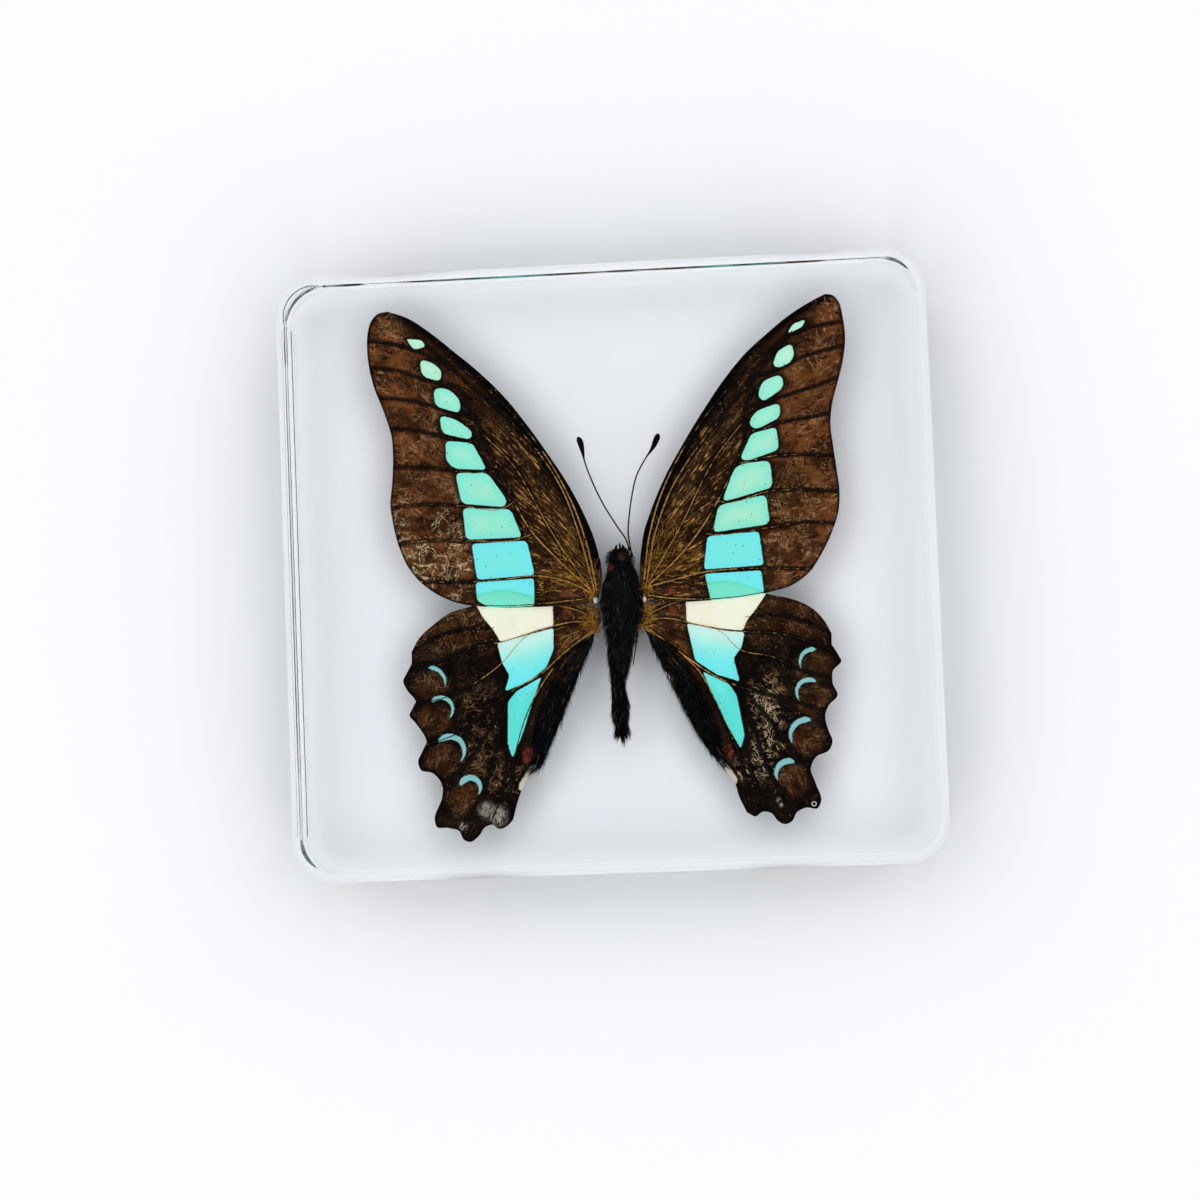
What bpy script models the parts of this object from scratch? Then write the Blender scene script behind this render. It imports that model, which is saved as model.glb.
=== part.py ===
"""Clear resin paperweight slab with a spread butterfly sealed inside it.

The slab is one cast and polished block of clear resin. It lies on its flat back face: the origin is the
middle of that face, +Z points out of the viewed front face, +X runs along the long side and +Y runs
towards the end that the sealed butterfly's head points to.
"""

import math

import bmesh
import bpy

MM = 0.001

# Driving dimensions of the slab
LENGTH_X = 75.0 * MM
WIDTH_Y = 70.0 * MM
THICKNESS_Z = 10.0 * MM
CORNER_RADIUS = 5.0 * MM
FRONT_FILLET = 1.2 * MM
BACK_FILLET = 0.5 * MM

# How finely the round stretches are faceted
CORNER_STEPS = 16
FILLET_STEPS = 8

# Finish of the polished resin: linear colour, roughness, refractive index
RESIN_COLOUR = (0.93, 0.95, 0.97, 1.0)
RESIN_ROUGHNESS = 0.03
RESIN_IOR = 1.5


def clear_scene():
    """Removes every object that the file opened with."""
    for existing in list(bpy.data.objects):
        bpy.data.objects.remove(existing, do_unlink=True)


def rounded_rectangle(length, width, radius, steps):
    """Points, counter-clockwise, of a rectangle centred on the origin whose corners are quarter circles."""
    points = []
    centres = (
        (length / 2 - radius, width / 2 - radius),
        (radius - length / 2, width / 2 - radius),
        (radius - length / 2, radius - width / 2),
        (length / 2 - radius, radius - width / 2),
    )
    for quarter, (centre_x, centre_y) in enumerate(centres):
        for step in range(steps + 1):
            angle = (quarter + step / steps) * math.pi / 2
            points.append((centre_x + radius * math.cos(angle), centre_y + radius * math.sin(angle)))
    return points


def resin_material():
    """Clear, polished, faintly cool casting resin."""
    material = bpy.data.materials.new("clear_resin")
    material.use_nodes = True
    shader = material.node_tree.nodes["Principled BSDF"]
    shader.inputs["Base Color"].default_value = RESIN_COLOUR
    shader.inputs["Metallic"].default_value = 0.0
    shader.inputs["Roughness"].default_value = RESIN_ROUGHNESS
    shader.inputs["IOR"].default_value = RESIN_IOR
    shader.inputs["Transmission Weight"].default_value = 1.0
    return material


def resin_block():
    """The slab: its plan outline raised to the full thickness, its front rim rounded over and its back rim
    eased with a smaller radius."""
    block = bmesh.new()
    outline = rounded_rectangle(LENGTH_X, WIDTH_Y, CORNER_RADIUS, CORNER_STEPS)
    base = block.faces.new([block.verts.new((x, y, 0.0)) for x, y in outline])
    raised = bmesh.ops.extrude_face_region(block, geom=[base])["geom"]
    top = [item for item in raised if isinstance(item, bmesh.types.BMVert)]
    bmesh.ops.translate(block, verts=top, vec=(0.0, 0.0, THICKNESS_Z))
    bmesh.ops.recalc_face_normals(block, faces=block.faces)
    for height, fillet in ((THICKNESS_Z, FRONT_FILLET), (0.0, BACK_FILLET)):
        rim = [
            edge
            for edge in block.edges
            if all(abs(corner.co.z - height) < 0.01 * MM for corner in edge.verts)
        ]
        bmesh.ops.bevel(
            block,
            geom=rim,
            offset=fillet,
            offset_type="OFFSET",
            segments=FILLET_STEPS,
            profile=0.5,
            affect="EDGES",
            clamp_overlap=True,
        )
    mesh = bpy.data.meshes.new("resin_block")
    block.to_mesh(mesh)
    block.free()
    mesh.shade_smooth()
    mesh.set_sharp_from_angle(angle=math.radians(30))
    mesh.materials.append(resin_material())
    slab = bpy.data.objects.new("resin_block", mesh)
    bpy.context.scene.collection.objects.link(slab)
    return slab


clear_scene()
resin_block()
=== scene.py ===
"""Clear resin block with a spread butterfly sealed in it: the looks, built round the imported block.

Shapes are worked out in millimetres in the block's own frame and turned into metres when they go into a
mesh. +X is to the right and +Y towards the head as the butterfly is looked at through the front face.
"""
import math

import bpy
import numpy as np
from bpy.props import FloatProperty, FloatVectorProperty, IntProperty, PointerProperty
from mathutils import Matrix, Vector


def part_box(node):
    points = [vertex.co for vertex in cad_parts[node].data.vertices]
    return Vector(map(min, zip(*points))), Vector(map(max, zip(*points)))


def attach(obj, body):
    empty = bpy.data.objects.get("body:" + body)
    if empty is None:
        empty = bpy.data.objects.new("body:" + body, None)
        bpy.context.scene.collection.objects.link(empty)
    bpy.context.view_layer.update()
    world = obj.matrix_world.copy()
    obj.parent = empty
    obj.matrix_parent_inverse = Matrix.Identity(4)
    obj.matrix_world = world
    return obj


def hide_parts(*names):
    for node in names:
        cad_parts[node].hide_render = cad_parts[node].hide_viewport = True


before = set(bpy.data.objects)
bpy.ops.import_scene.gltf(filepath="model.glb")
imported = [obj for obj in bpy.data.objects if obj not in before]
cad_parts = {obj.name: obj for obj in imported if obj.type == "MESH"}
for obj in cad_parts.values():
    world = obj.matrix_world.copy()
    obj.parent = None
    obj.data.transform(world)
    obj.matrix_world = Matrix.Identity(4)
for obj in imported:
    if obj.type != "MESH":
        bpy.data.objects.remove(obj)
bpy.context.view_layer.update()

bl_info = {
    "name": "Butterfly in Clear Resin",
    "version": (1, 0, 0),
    "blender": (4, 5, 0),
    "location": "3D View > Sidebar > Resin",
    "description": "Builds a clear resin block with a spread butterfly sealed in it",
    "category": "Object",
}

MM = 0.001  # metres in a millimetre
SIGNS = {"left": -1.0, "right": 1.0}  # which way a side lies along X
BLOCK_LOW, BLOCK_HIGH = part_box("resin_block")


# ---------------------------------------------------------------------------------------------------------
# Settings that a user would change


def a_colour(name, description, default):
    """Setting for a colour."""
    return FloatVectorProperty(name=name, description=description, default=default, subtype="COLOR")


def a_length(name, description, default):
    """Setting for a length in metres."""
    return FloatProperty(name=name, description=description, default=default, unit="LENGTH")


def a_number(name, description, default):
    """Setting for a plain number."""
    return FloatProperty(name=name, description=description, default=default)


def a_count(name, description, default):
    """Setting for a number of hairs."""
    return IntProperty(name=name, description=description, default=default)


class ResinSettings(bpy.types.PropertyGroup):
    """The clear block."""

    corner_radius: a_length("Corner radius", "Radius of the block's corners in plan", 0.005)
    front_fillet: a_length("Front fillet", "Radius of the front rim", 0.0012)
    back_fillet: a_length("Back fillet", "Radius of the back rim", 0.0005)
    refraction: a_number("Refractive index", "How strongly the resin bends light", 1.5)
    cool: a_colour("Cool drift", "Slightly cooler drifts in the resin", (0.975, 0.985, 0.99))
    clear: a_colour("Clear drift", "The clearest resin", (0.99, 0.993, 0.995))
    tint: a_colour("Tint", "Colour that deep resin lets through", (0.80, 0.92, 0.95))
    tint_density: a_number("Tint density", "How quickly the resin takes on its tint, per metre", 3.0)


class WingSettings(bpy.types.PropertyGroup):
    """Heights, thickness and colours of the wings."""

    forewing_height: a_length("Forewing height", "Height of the forewings over the back face", 0.0056)
    hindwing_height: a_length("Hindwing height", "Height of the hindwings over the back face", 0.0050)
    thickness: a_length("Wing thickness", "Thickness of the wing with its scales", 0.00007)
    # painted glow: emission on the windows and patches that stands in for light let through from behind
    painted_glow: a_number("Window glow", "Light that the windows and patches let through from behind", 0.34)
    black: a_colour("Black scales", "Darkest scales", (0.002, 0.0015, 0.0015))
    umber: a_colour("Umber scales", "Dark brown scales", (0.042, 0.014, 0.0045))
    brown: a_colour("Brown scales", "Middle brown scales", (0.262, 0.086, 0.026))
    tan: a_colour("Worn tan", "Wing showing where scales are worn", (0.74, 0.40, 0.18))
    bare: a_colour("Bare strokes", "Wing showing where it is worn most", (0.84, 0.60, 0.36))
    gold: a_colour("Gold veins", "Veins and streaks near the wing roots", (0.90, 0.45, 0.11))
    bronze: a_colour("Bronze veins", "Darker stretches of the gilded veins", (0.30, 0.15, 0.045))
    dark_vein: a_colour("Dark veins", "Veins towards the margin", (0.012, 0.006, 0.004))
    whitish: a_colour("Palest window", "Window colour beside the cream patch", (0.86, 0.98, 0.92))
    mint: a_colour("Mint window", "Window colour towards the tip", (0.78, 0.96, 0.79))
    aqua: a_colour("Aqua window", "Window colour in the middle", (0.38, 0.92, 0.78))
    cyan: a_colour("Cyan window", "Window colour towards the rear", (0.27, 0.93, 0.97))
    sea: a_colour("Sea green window", "Window colour at the end of the spike", (0.17, 0.86, 0.80))
    teal: a_colour("Teal window", "Window colour where two wings overlap", (0.30, 0.88, 0.68))
    crease: a_colour("Crease", "Line where the overlap begins", (0.10, 0.78, 0.55))
    dots: a_colour("Window dots", "Fine dark dots in the windows", (0.02, 0.16, 0.15))
    cream: a_colour("Cream patch", "Patch at the front of the hindwing", (1.0, 0.98, 0.87))
    mottle: a_colour("Cream mottling", "Warmer clouds in the cream patch", (0.84, 0.76, 0.50))
    crescent: a_colour("Crescents", "Turquoise crescents of the hindwing", (0.36, 0.82, 0.84))
    crescent_worn: a_colour("Worn crescents", "Greyer scales in the crescents", (0.40, 0.66, 0.60))
    rust: a_colour("Rust spot", "Red-brown spots", (0.27, 0.055, 0.028))
    streak: a_colour("Pale streak", "Streak at the end of the hindwing's fold", (0.94, 0.84, 0.64))
    scuff: a_colour("Scuffs", "Whitish scuffed places", (0.74, 0.64, 0.54))


class BodySettings(bpy.types.PropertyGroup):
    """The butterfly's body and its hair."""

    height: a_length("Body height", "Height of the body's middle over the back face", 0.0051)
    thorax_hairs: a_count("Thorax hairs", "Number of hairs on the thorax", 5200)
    head_hairs: a_count("Head hairs", "Number of hairs on the head", 1500)
    abdomen_hairs: a_count("Abdomen hairs", "Number of hairs on the abdomen", 3600)
    hair_dark: a_colour("Dark hair", "Colour of the body's hair", (0.003, 0.003, 0.004))
    # painted glint: paler bluish hairs that stand in for glints of light on the dark hair
    painted_hair_glint: a_colour("Hair glint", "Colour of the paler hairs", (0.26, 0.29, 0.34))
    tuft_dark: a_colour("Tuft shade", "Darker hairs of the gold tufts", (0.12, 0.036, 0.005))
    tuft_light: a_colour("Tuft gold", "Brighter hairs of the gold tufts", (1.0, 0.50, 0.075))
    shell_dark: a_colour("Shell", "Colour of the body's shell", (0.003, 0.003, 0.003))
    shell_light: a_colour("Shell mottling", "Paler clouds on the shell", (0.012, 0.010, 0.009))
    horn_dark: a_colour("Horn", "Colour of the antennae, tongue and legs", (0.003, 0.002, 0.002))
    horn_light: a_colour("Horn mottling", "Paler clouds on the horn", (0.010, 0.007, 0.006))
    eye: a_colour("Eye", "Colour of the compound eyes", (0.085, 0.020, 0.012))
    eye_gap: a_colour("Eye gaps", "Colour between the facets of the eyes", (0.012, 0.004, 0.003))
    dot_shade: a_colour("Root dot shade", "Darker scales of the dots at the wing roots", (0.62, 0.58, 0.50))
    dot_pale: a_colour("Root dot", "Pale scales of the dots at the wing roots", (0.92, 0.90, 0.86))


class StageSettings(bpy.types.PropertyGroup):
    """Floor, lights and camera."""

    floor_radius: a_length("Floor radius", "Radius of the pale floor", 2.4)
    floor_colour: a_colour("Floor", "Colour of the floor", (0.84, 0.84, 0.86))
    surround: a_number("Surround", "Brightness of the pale surroundings", 1.40)
    horizon: a_number("Horizon", "Brightness at the horizon beside the rest, which draws the rims", 0.50)
    overhead: a_number("Overhead", "Brightness straight overhead, kept low against glare", 0.02)
    camera_place: FloatVectorProperty(
        name="Camera place", description="Where the camera stands", default=(0.0164, -0.0158, 0.2655),
        subtype="TRANSLATION", unit="LENGTH",
    )
    camera_turn: FloatVectorProperty(
        name="Camera turn", description="The camera's rotation", subtype="EULER", unit="ROTATION",
        default=(math.radians(2.52), math.radians(3.99), math.radians(-2.21)),
    )
    lens: a_number("Lens", "Focal length in millimetres on a sensor 36 mm wide", 67.5)


# ---------------------------------------------------------------------------------------------------------
# Outlines, in millimetres. Each wing has its costa, outer margin and inner margin, from the root outwards


FOREWINGS = {
    "left": {
        "costa": [
            (-0.9, 0.5), (-1.6, 3.5), (-2.7, 6.4), (-4.3, 9.7), (-6.4, 13.2), (-8.7, 16.7), (-11.2, 20.1),
            (-14.1, 23.2), (-17.0, 25.8), (-19.9, 28.3), (-22.3, 30.0), (-24.6, 30.9),
        ],
        "margin": [
            (-24.6, 30.9), (-25.8, 30.7), (-26.6, 29.9), (-27.1, 28.3), (-27.2, 26.5), (-26.6, 22.3),
            (-25.5, 19.2), (-24.7, 16.3), (-24.6, 13.9), (-24.8, 10.9), (-25.1, 8.2), (-24.8, 5.7),
            (-24.2, 3.2), (-23.1, 0.7), (-21.9, -0.8), (-20.0, -2.3), (-18.2, -3.2), (-16.5, -3.7),
        ],
        "dorsum": [(-1.6, -4.0), (-5.0, -4.2), (-9.0, -4.2), (-13.0, -4.1), (-16.5, -3.7)],
        "root": [(-0.9, 0.5), (-0.9, -1.9), (-1.6, -4.0)],
    },
    "right": {
        "costa": [
            (3.7, 1.3), (4.2, 3.9), (5.2, 6.6), (7.0, 10.4), (9.1, 13.9), (11.7, 17.8), (14.2, 21.2),
            (16.8, 24.1), (19.3, 26.2), (21.8, 28.1), (24.2, 29.5), (26.1, 30.4),
        ],
        "margin": [
            (26.1, 30.4), (27.0, 30.2), (27.6, 29.5), (28.0, 27.8), (28.2, 25.3), (27.8, 22.5),
            (27.2, 20.4), (26.4, 17.7), (26.1, 15.3), (26.3, 12.9), (26.6, 10.0), (26.8, 7.6),
            (26.6, 5.4), (25.8, 3.1), (24.5, 0.6), (23.0, -1.5), (21.0, -2.9), (18.0, -3.7),
        ],
        "dorsum": [(3.9, -4.1), (7.0, -4.3), (11.0, -4.3), (14.5, -4.1), (18.0, -3.7)],
        "root": [(3.7, 1.3), (3.5, -1.4), (3.9, -4.1)],
    },
}

HINDWINGS = {
    "left": {
        "costa": [
            (-1.4, -4.6), (-5.0, -3.4), (-10.0, -2.7), (-14.0, -3.0), (-16.2, -3.8), (-18.7, -4.5),
            (-20.7, -5.8), (-22.4, -7.3), (-23.3, -8.8),
        ],
        "margin": [
            (-23.3, -8.8), (-23.4, -10.4), (-24.4, -12.3), (-24.0, -13.2), (-23.0, -14.7), (-23.8, -16.2),
            (-23.1, -17.1), (-21.9, -19.6), (-23.0, -21.6), (-22.7, -22.5), (-21.4, -22.9), (-20.3, -24.3),
            (-20.4, -26.0), (-21.3, -28.2), (-21.1, -29.1), (-19.7, -29.3), (-18.5, -29.7), (-18.0, -30.7),
            (-17.3, -31.0), (-16.3, -30.4), (-15.4, -29.3), (-14.6, -29.1), (-13.9, -29.6), (-12.9, -29.3),
            (-12.2, -28.6),
        ],
        "dorsum": [
            (-1.9, -7.5), (-2.3, -8.6), (-4.3, -12.8), (-6.1, -17.1), (-7.6, -20.2), (-8.8, -22.6),
            (-9.8, -23.3), (-10.9, -24.9), (-11.4, -26.0), (-12.2, -28.6),
        ],
        "root": [(-1.4, -4.6), (-1.2, -6.1), (-1.9, -7.5)],
    },
    "right": {
        "costa": [
            (3.8, -4.7), (7.5, -3.5), (12.5, -2.8), (16.0, -3.1), (18.5, -3.9), (20.9, -4.5),
            (23.2, -5.7), (24.5, -7.2), (25.2, -8.6),
        ],
        "margin": [
            (25.2, -8.6), (25.3, -10.6), (26.2, -11.8), (25.2, -12.9), (25.1, -14.3), (25.6, -15.7),
            (24.5, -16.9), (24.1, -18.0), (24.4, -19.7), (24.8, -20.9), (24.4, -21.9), (22.8, -22.7),
            (22.2, -23.9), (22.7, -25.7), (23.2, -27.8), (22.8, -28.5), (21.5, -28.4), (20.4, -28.9),
            (19.8, -29.9), (19.0, -30.2), (18.2, -29.8), (17.5, -28.9), (16.5, -28.7), (15.7, -29.2),
            (14.7, -28.7),
        ],
        "dorsum": [
            (4.0, -7.7), (5.8, -11.6), (7.6, -15.6), (9.4, -19.3), (10.9, -21.7), (12.1, -23.3),
            (13.4, -25.1), (13.9, -26.9), (14.7, -28.7),
        ],
        "root": [(3.8, -4.7), (3.4, -6.1), (4.0, -7.7)],
    },
}

# Windows of the forewing from the tip to the rear: corners, corner radius, tint from 0 mint to 1 cyan
WINDOWS = {
    "left": [
        ([(-22.6, 27.6), (-20.8, 27.4), (-20.3, 26.6), (-21.7, 26.3)], 0.35, 0.02),
        ([(-21.1, 25.1), (-19.8, 24.8), (-18.5, 23.7), (-18.8, 22.4), (-20.9, 23.2)], 0.75, 0.12),
        ([(-19.6, 21.7), (-17.9, 21.6), (-16.5, 20.2), (-16.6, 18.6), (-19.5, 19.6)], 0.85, 0.30),
        ([(-19.0, 18.5), (-17.0, 17.9), (-15.2, 16.4), (-15.5, 15.5), (-18.8, 16.4)], 0.75, 0.34),
        ([(-18.4, 15.5), (-15.3, 15.1), (-13.7, 11.9), (-17.4, 12.2), (-18.4, 13.1)], 0.65, 0.42),
        ([(-17.4, 11.7), (-13.7, 11.6), (-11.5, 8.3), (-11.8, 7.5), (-16.8, 8.1)], 0.75, 0.42),
        ([(-16.7, 7.6), (-11.1, 7.2), (-9.9, 3.9), (-16.4, 3.9)], 0.65, 0.44),
        ([(-15.8, 3.4), (-9.4, 3.5), (-8.6, -0.5), (-15.3, -0.8)], 0.55, 0.88),
        ([(-15.5, -1.1), (-8.7, -0.9), (-8.8, -4.1), (-14.0, -4.1), (-15.4, -3.2)], 0.45, 0.92),
    ],
    "right": [
        ([(21.6, 26.0), (22.3, 27.1), (23.8, 27.6), (23.3, 26.7)], 0.4, 0.06),
        ([(19.8, 22.5), (20.4, 24.1), (22.1, 24.9), (22.3, 23.4), (21.6, 22.5), (20.4, 22.1)], 0.6, 0.14),
        ([(17.9, 19.0), (18.5, 20.7), (20.7, 21.4), (21.0, 19.9), (18.6, 18.3)], 0.8, 0.28),
        ([(16.7, 15.9), (17.7, 17.3), (20.4, 18.1), (20.4, 16.4), (17.5, 15.1)], 0.7, 0.28),
        ([(15.6, 11.8), (17.0, 14.7), (19.9, 15.3), (20.1, 12.7), (16.5, 11.6)], 0.6, 0.33),
        ([(13.4, 7.2), (14.9, 10.8), (16.0, 11.3), (19.0, 11.5), (19.2, 8.4), (14.0, 7.1)], 0.75, 0.33),
        ([(12.1, 3.5), (12.9, 6.6), (18.4, 7.6), (18.7, 4.2)], 0.75, 0.35),
        ([(10.9, -0.7), (11.5, 3.1), (17.4, 3.4), (17.8, -0.5)], 0.5, 0.86),
        ([(11.0, -1.2), (17.5, -1.1), (17.7, -3.8), (11.6, -4.4)], 0.4, 0.92),
    ],
}

# Cream patch, cyan window and cyan spike of the hindwing
PATCHES = {
    "left": {
        "cream": (
            [(-15.7, -3.4), (-6.7, -3.4), (-6.7, -6.5), (-12.9, -8.1), (-13.7, -6.6), (-14.9, -5.1)], 0.4,
        ),
        "window": (
            [(-13.3, -8.2), (-6.7, -6.7), (-6.8, -9.2), (-7.7, -11.2), (-9.8, -12.8), (-12.6, -13.8),
             (-12.0, -12.0), (-12.8, -10.5)], 0.35,
        ),
        "spike": (
            [(-8.3, -12.3), (-9.4, -15.0), (-10.7, -18.7), (-12.0, -21.5), (-12.5, -20.0), (-12.3, -15.0),
             (-11.2, -13.8)], 0.35,
        ),
    },
    "right": {
        "cream": (
            [(8.7, -3.4), (18.2, -3.4), (16.6, -5.6), (15.6, -6.7), (15.1, -7.9), (12.9, -7.6), (8.7, -6.7)],
            0.4,
        ),
        "window": (
            [(8.7, -6.8), (12.9, -7.8), (15.3, -8.1), (14.8, -9.9), (13.9, -11.0), (14.5, -13.7),
             (11.9, -12.8), (9.5, -11.1)], 0.35,
        ),
        "spike": (
            [(10.3, -12.4), (13.3, -14.0), (14.1, -15.3), (14.8, -19.9), (14.3, -21.4), (12.4, -17.8)], 0.35,
        ),
    },
}

# Turquoise crescents of the hindwing: start, crown, end, half width
CRESCENTS = {
    "left": [
        ((-21.3, -10.7), (-19.9, -11.4), (-19.6, -13.1), 0.20),
        ((-21.1, -14.6), (-19.3, -14.5), (-19.4, -16.8), 0.21),
        ((-20.4, -19.2), (-18.6, -18.9), (-18.1, -21.7), 0.30),
        ((-18.1, -24.3), (-17.0, -23.6), (-16.2, -25.6), 0.30),
    ],
    "right": [
        ((23.3, -10.4), (21.9, -10.8), (21.6, -12.5), 0.21),
        ((23.1, -14.0), (21.3, -14.3), (21.3, -16.2), 0.22),
        ((22.3, -18.4), (20.5, -19.0), (20.2, -21.0), 0.28),
        ((20.2, -23.1), (18.7, -23.4), (18.4, -25.2), 0.30),
    ],
}

# Share of the half width at places from a crescent's start, 0, to its end, 1
CRESCENT_TAPER = ((0, 0.1, 0.45, 0.8, 1), (0.55, 1.15, 1.05, 0.60, 0.05))

# Red-brown spots: centre, half sizes
FOREWING_RUST = {"left": [((-5.1, -2.7), (0.8, 0.5))], "right": [((7.0, -2.9), (0.6, 0.4))]}
HINDWING_RUST = {
    "left": [((-5.1, -5.0), (0.6, 0.8)), ((-10.1, -21.4), (0.75, 0.95))],
    "right": [((7.4, -5.2), (0.6, 0.7)), ((12.8, -21.8), (0.60, 0.95))],
}
# Pale streak at the end of the hindwing's fold, and whitish scuffs: centre and radius
PALE_STREAKS = {
    "left": [(-9.6, -22.7), (-10.2, -23.5), (-11.1, -24.9)],
    "right": [(11.9, -22.9), (12.7, -23.8), (13.4, -25.0)],
}
SCUFFS = {
    "left": [((-15.2, -27.4), 0.8), ((-14.0, -28.1), 1.0), ((-18.0, -29.2), 0.4)],
    "right": [((18.4, -27.4), 0.22), ((18.6, -28.0), 0.22)],
}

# Veins: points from the root or the cell outwards, radius at each end, how gilded each end is
FOREWING_VEINS = {
    "left": [
        ([(-1.5, -2.6), (-2.4, 2.6), (-4.0, 7.7), (-6.2, 12.2), (-8.7, 16.0), (-12.2, 20.2), (-16.5, 24.2)],
         0.16, 0.07, 1.0, 0.3),
        ([(-1.8, -2.4), (-3.2, 3.6), (-5.0, 9.1), (-7.6, 13.6), (-10.9, 17.6), (-15.0, 21.6),
          (-20.0, 26.6)], 0.15, 0.06, 1.0, 0.1),
        ([(-2.0, -2.6), (-4.3, 0.8), (-6.6, 4.6), (-8.6, 8.6), (-10.4, 12.0), (-13.9, 16.0)],
         0.12, 0.08, 0.9, 0.7),
        ([(-1.9, -2.8), (-5.6, 0.9), (-9.1, 5.0), (-11.2, 9.2), (-12.8, 12.7), (-14.1, 16.2),
          (-16.2, 20.2)], 0.17, 0.10, 1.0, 0.2),
        ([(-1.9, -3.0), (-4.5, -1.6), (-8.6, -0.6), (-12.0, -0.85), (-15.5, -1.0), (-19.0, -0.9),
          (-22.0, -0.7)], 0.15, 0.07, 1.0, 0.4),
        ([(-1.9, -3.4), (-5.5, -3.7), (-9.0, -3.9), (-13.0, -3.9), (-16.2, -3.6)], 0.13, 0.07, 0.9, 0.3),
        ([(-15.0, 21.6), (-17.6, 24.0), (-20.9, 25.9), (-24.0, 27.0), (-27.0, 27.6)], 0.08, 0.09, 0.0, 0.0),
        ([(-15.4, 20.2), (-17.2, 21.9), (-19.9, 22.5), (-23.5, 23.9), (-27.0, 24.5)], 0.08, 0.10, 0.0, 0.0),
        ([(-14.8, 17.8), (-15.9, 18.4), (-18.0, 19.0), (-22.0, 20.3), (-26.1, 20.9)], 0.08, 0.10, 0.0, 0.0),
        ([(-14.0, 15.9), (-15.4, 15.3), (-18.7, 16.0), (-22.0, 16.9), (-24.9, 17.2)], 0.08, 0.10, 0.3, 0.0),
        ([(-12.7, 12.2), (-13.8, 11.75), (-17.8, 12.0), (-21.0, 12.5), (-24.7, 12.6)],
         0.08, 0.09, 0.5, 0.1),
        ([(-10.8, 8.0), (-11.9, 7.4), (-16.8, 7.85), (-20.5, 8.2), (-25.0, 8.0)], 0.08, 0.09, 0.8, 0.3),
        ([(-8.4, 4.4), (-10.2, 3.75), (-15.9, 3.75), (-20.0, 4.0), (-24.4, 3.7)], 0.08, 0.09, 0.8, 0.4),
    ],
    "right": [
        ([(4.0, -1.6), (4.7, 3.0), (6.4, 8.3), (8.8, 12.8), (11.6, 16.7), (14.7, 20.2), (18.5, 23.9)],
         0.16, 0.07, 1.0, 0.3),
        ([(4.3, -1.8), (5.7, 4.4), (7.7, 9.0), (10.2, 12.7), (13.2, 16.2), (17.3, 20.9), (22.2, 26.4)],
         0.15, 0.06, 1.0, 0.1),
        ([(4.4, -2.0), (6.6, 1.4), (8.8, 5.0), (10.8, 8.8), (12.7, 12.0), (16.2, 16.2)],
         0.12, 0.08, 0.9, 0.7),
        ([(4.5, -2.2), (7.6, 0.4), (10.7, 3.9), (13.0, 7.4), (14.9, 11.0), (16.2, 14.4),
          (16.5, 17.4), (17.6, 20.0)], 0.17, 0.10, 1.0, 0.2),
        ([(4.5, -2.4), (8.0, -1.6), (10.9, -1.0), (14.4, -0.8), (17.8, -0.85), (23.4, -1.2)],
         0.15, 0.07, 1.0, 0.4),
        ([(4.4, -3.4), (7.6, -3.9), (11.0, -4.1), (14.5, -4.0), (17.8, -3.6)], 0.13, 0.07, 0.9, 0.3),
        ([(16.8, 20.6), (18.8, 23.4), (21.4, 25.6), (24.6, 26.7), (28.0, 27.1)], 0.08, 0.09, 0.0, 0.0),
        ([(16.8, 19.6), (17.9, 21.2), (19.8, 21.8), (23.4, 23.3), (28.1, 24.4)], 0.08, 0.10, 0.0, 0.0),
        ([(16.4, 17.6), (17.4, 17.9), (19.6, 18.5), (23.0, 19.4), (27.2, 20.6)], 0.08, 0.10, 0.0, 0.0),
        ([(16.2, 15.2), (17.3, 15.0), (20.3, 15.8), (23.0, 16.2), (26.2, 16.6)], 0.08, 0.10, 0.3, 0.0),
        ([(14.9, 11.2), (16.2, 11.45), (19.5, 12.0), (22.8, 12.0), (26.4, 11.7)], 0.08, 0.09, 0.6, 0.3),
        ([(12.6, 7.1), (14.0, 6.9), (18.8, 7.95), (22.0, 8.0), (26.8, 7.6)], 0.08, 0.09, 0.7, 0.2),
        ([(10.7, 3.5), (12.0, 3.3), (18.4, 3.75), (22.0, 4.2), (26.2, 4.0)], 0.08, 0.09, 0.7, 0.2),
    ],
}
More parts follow.
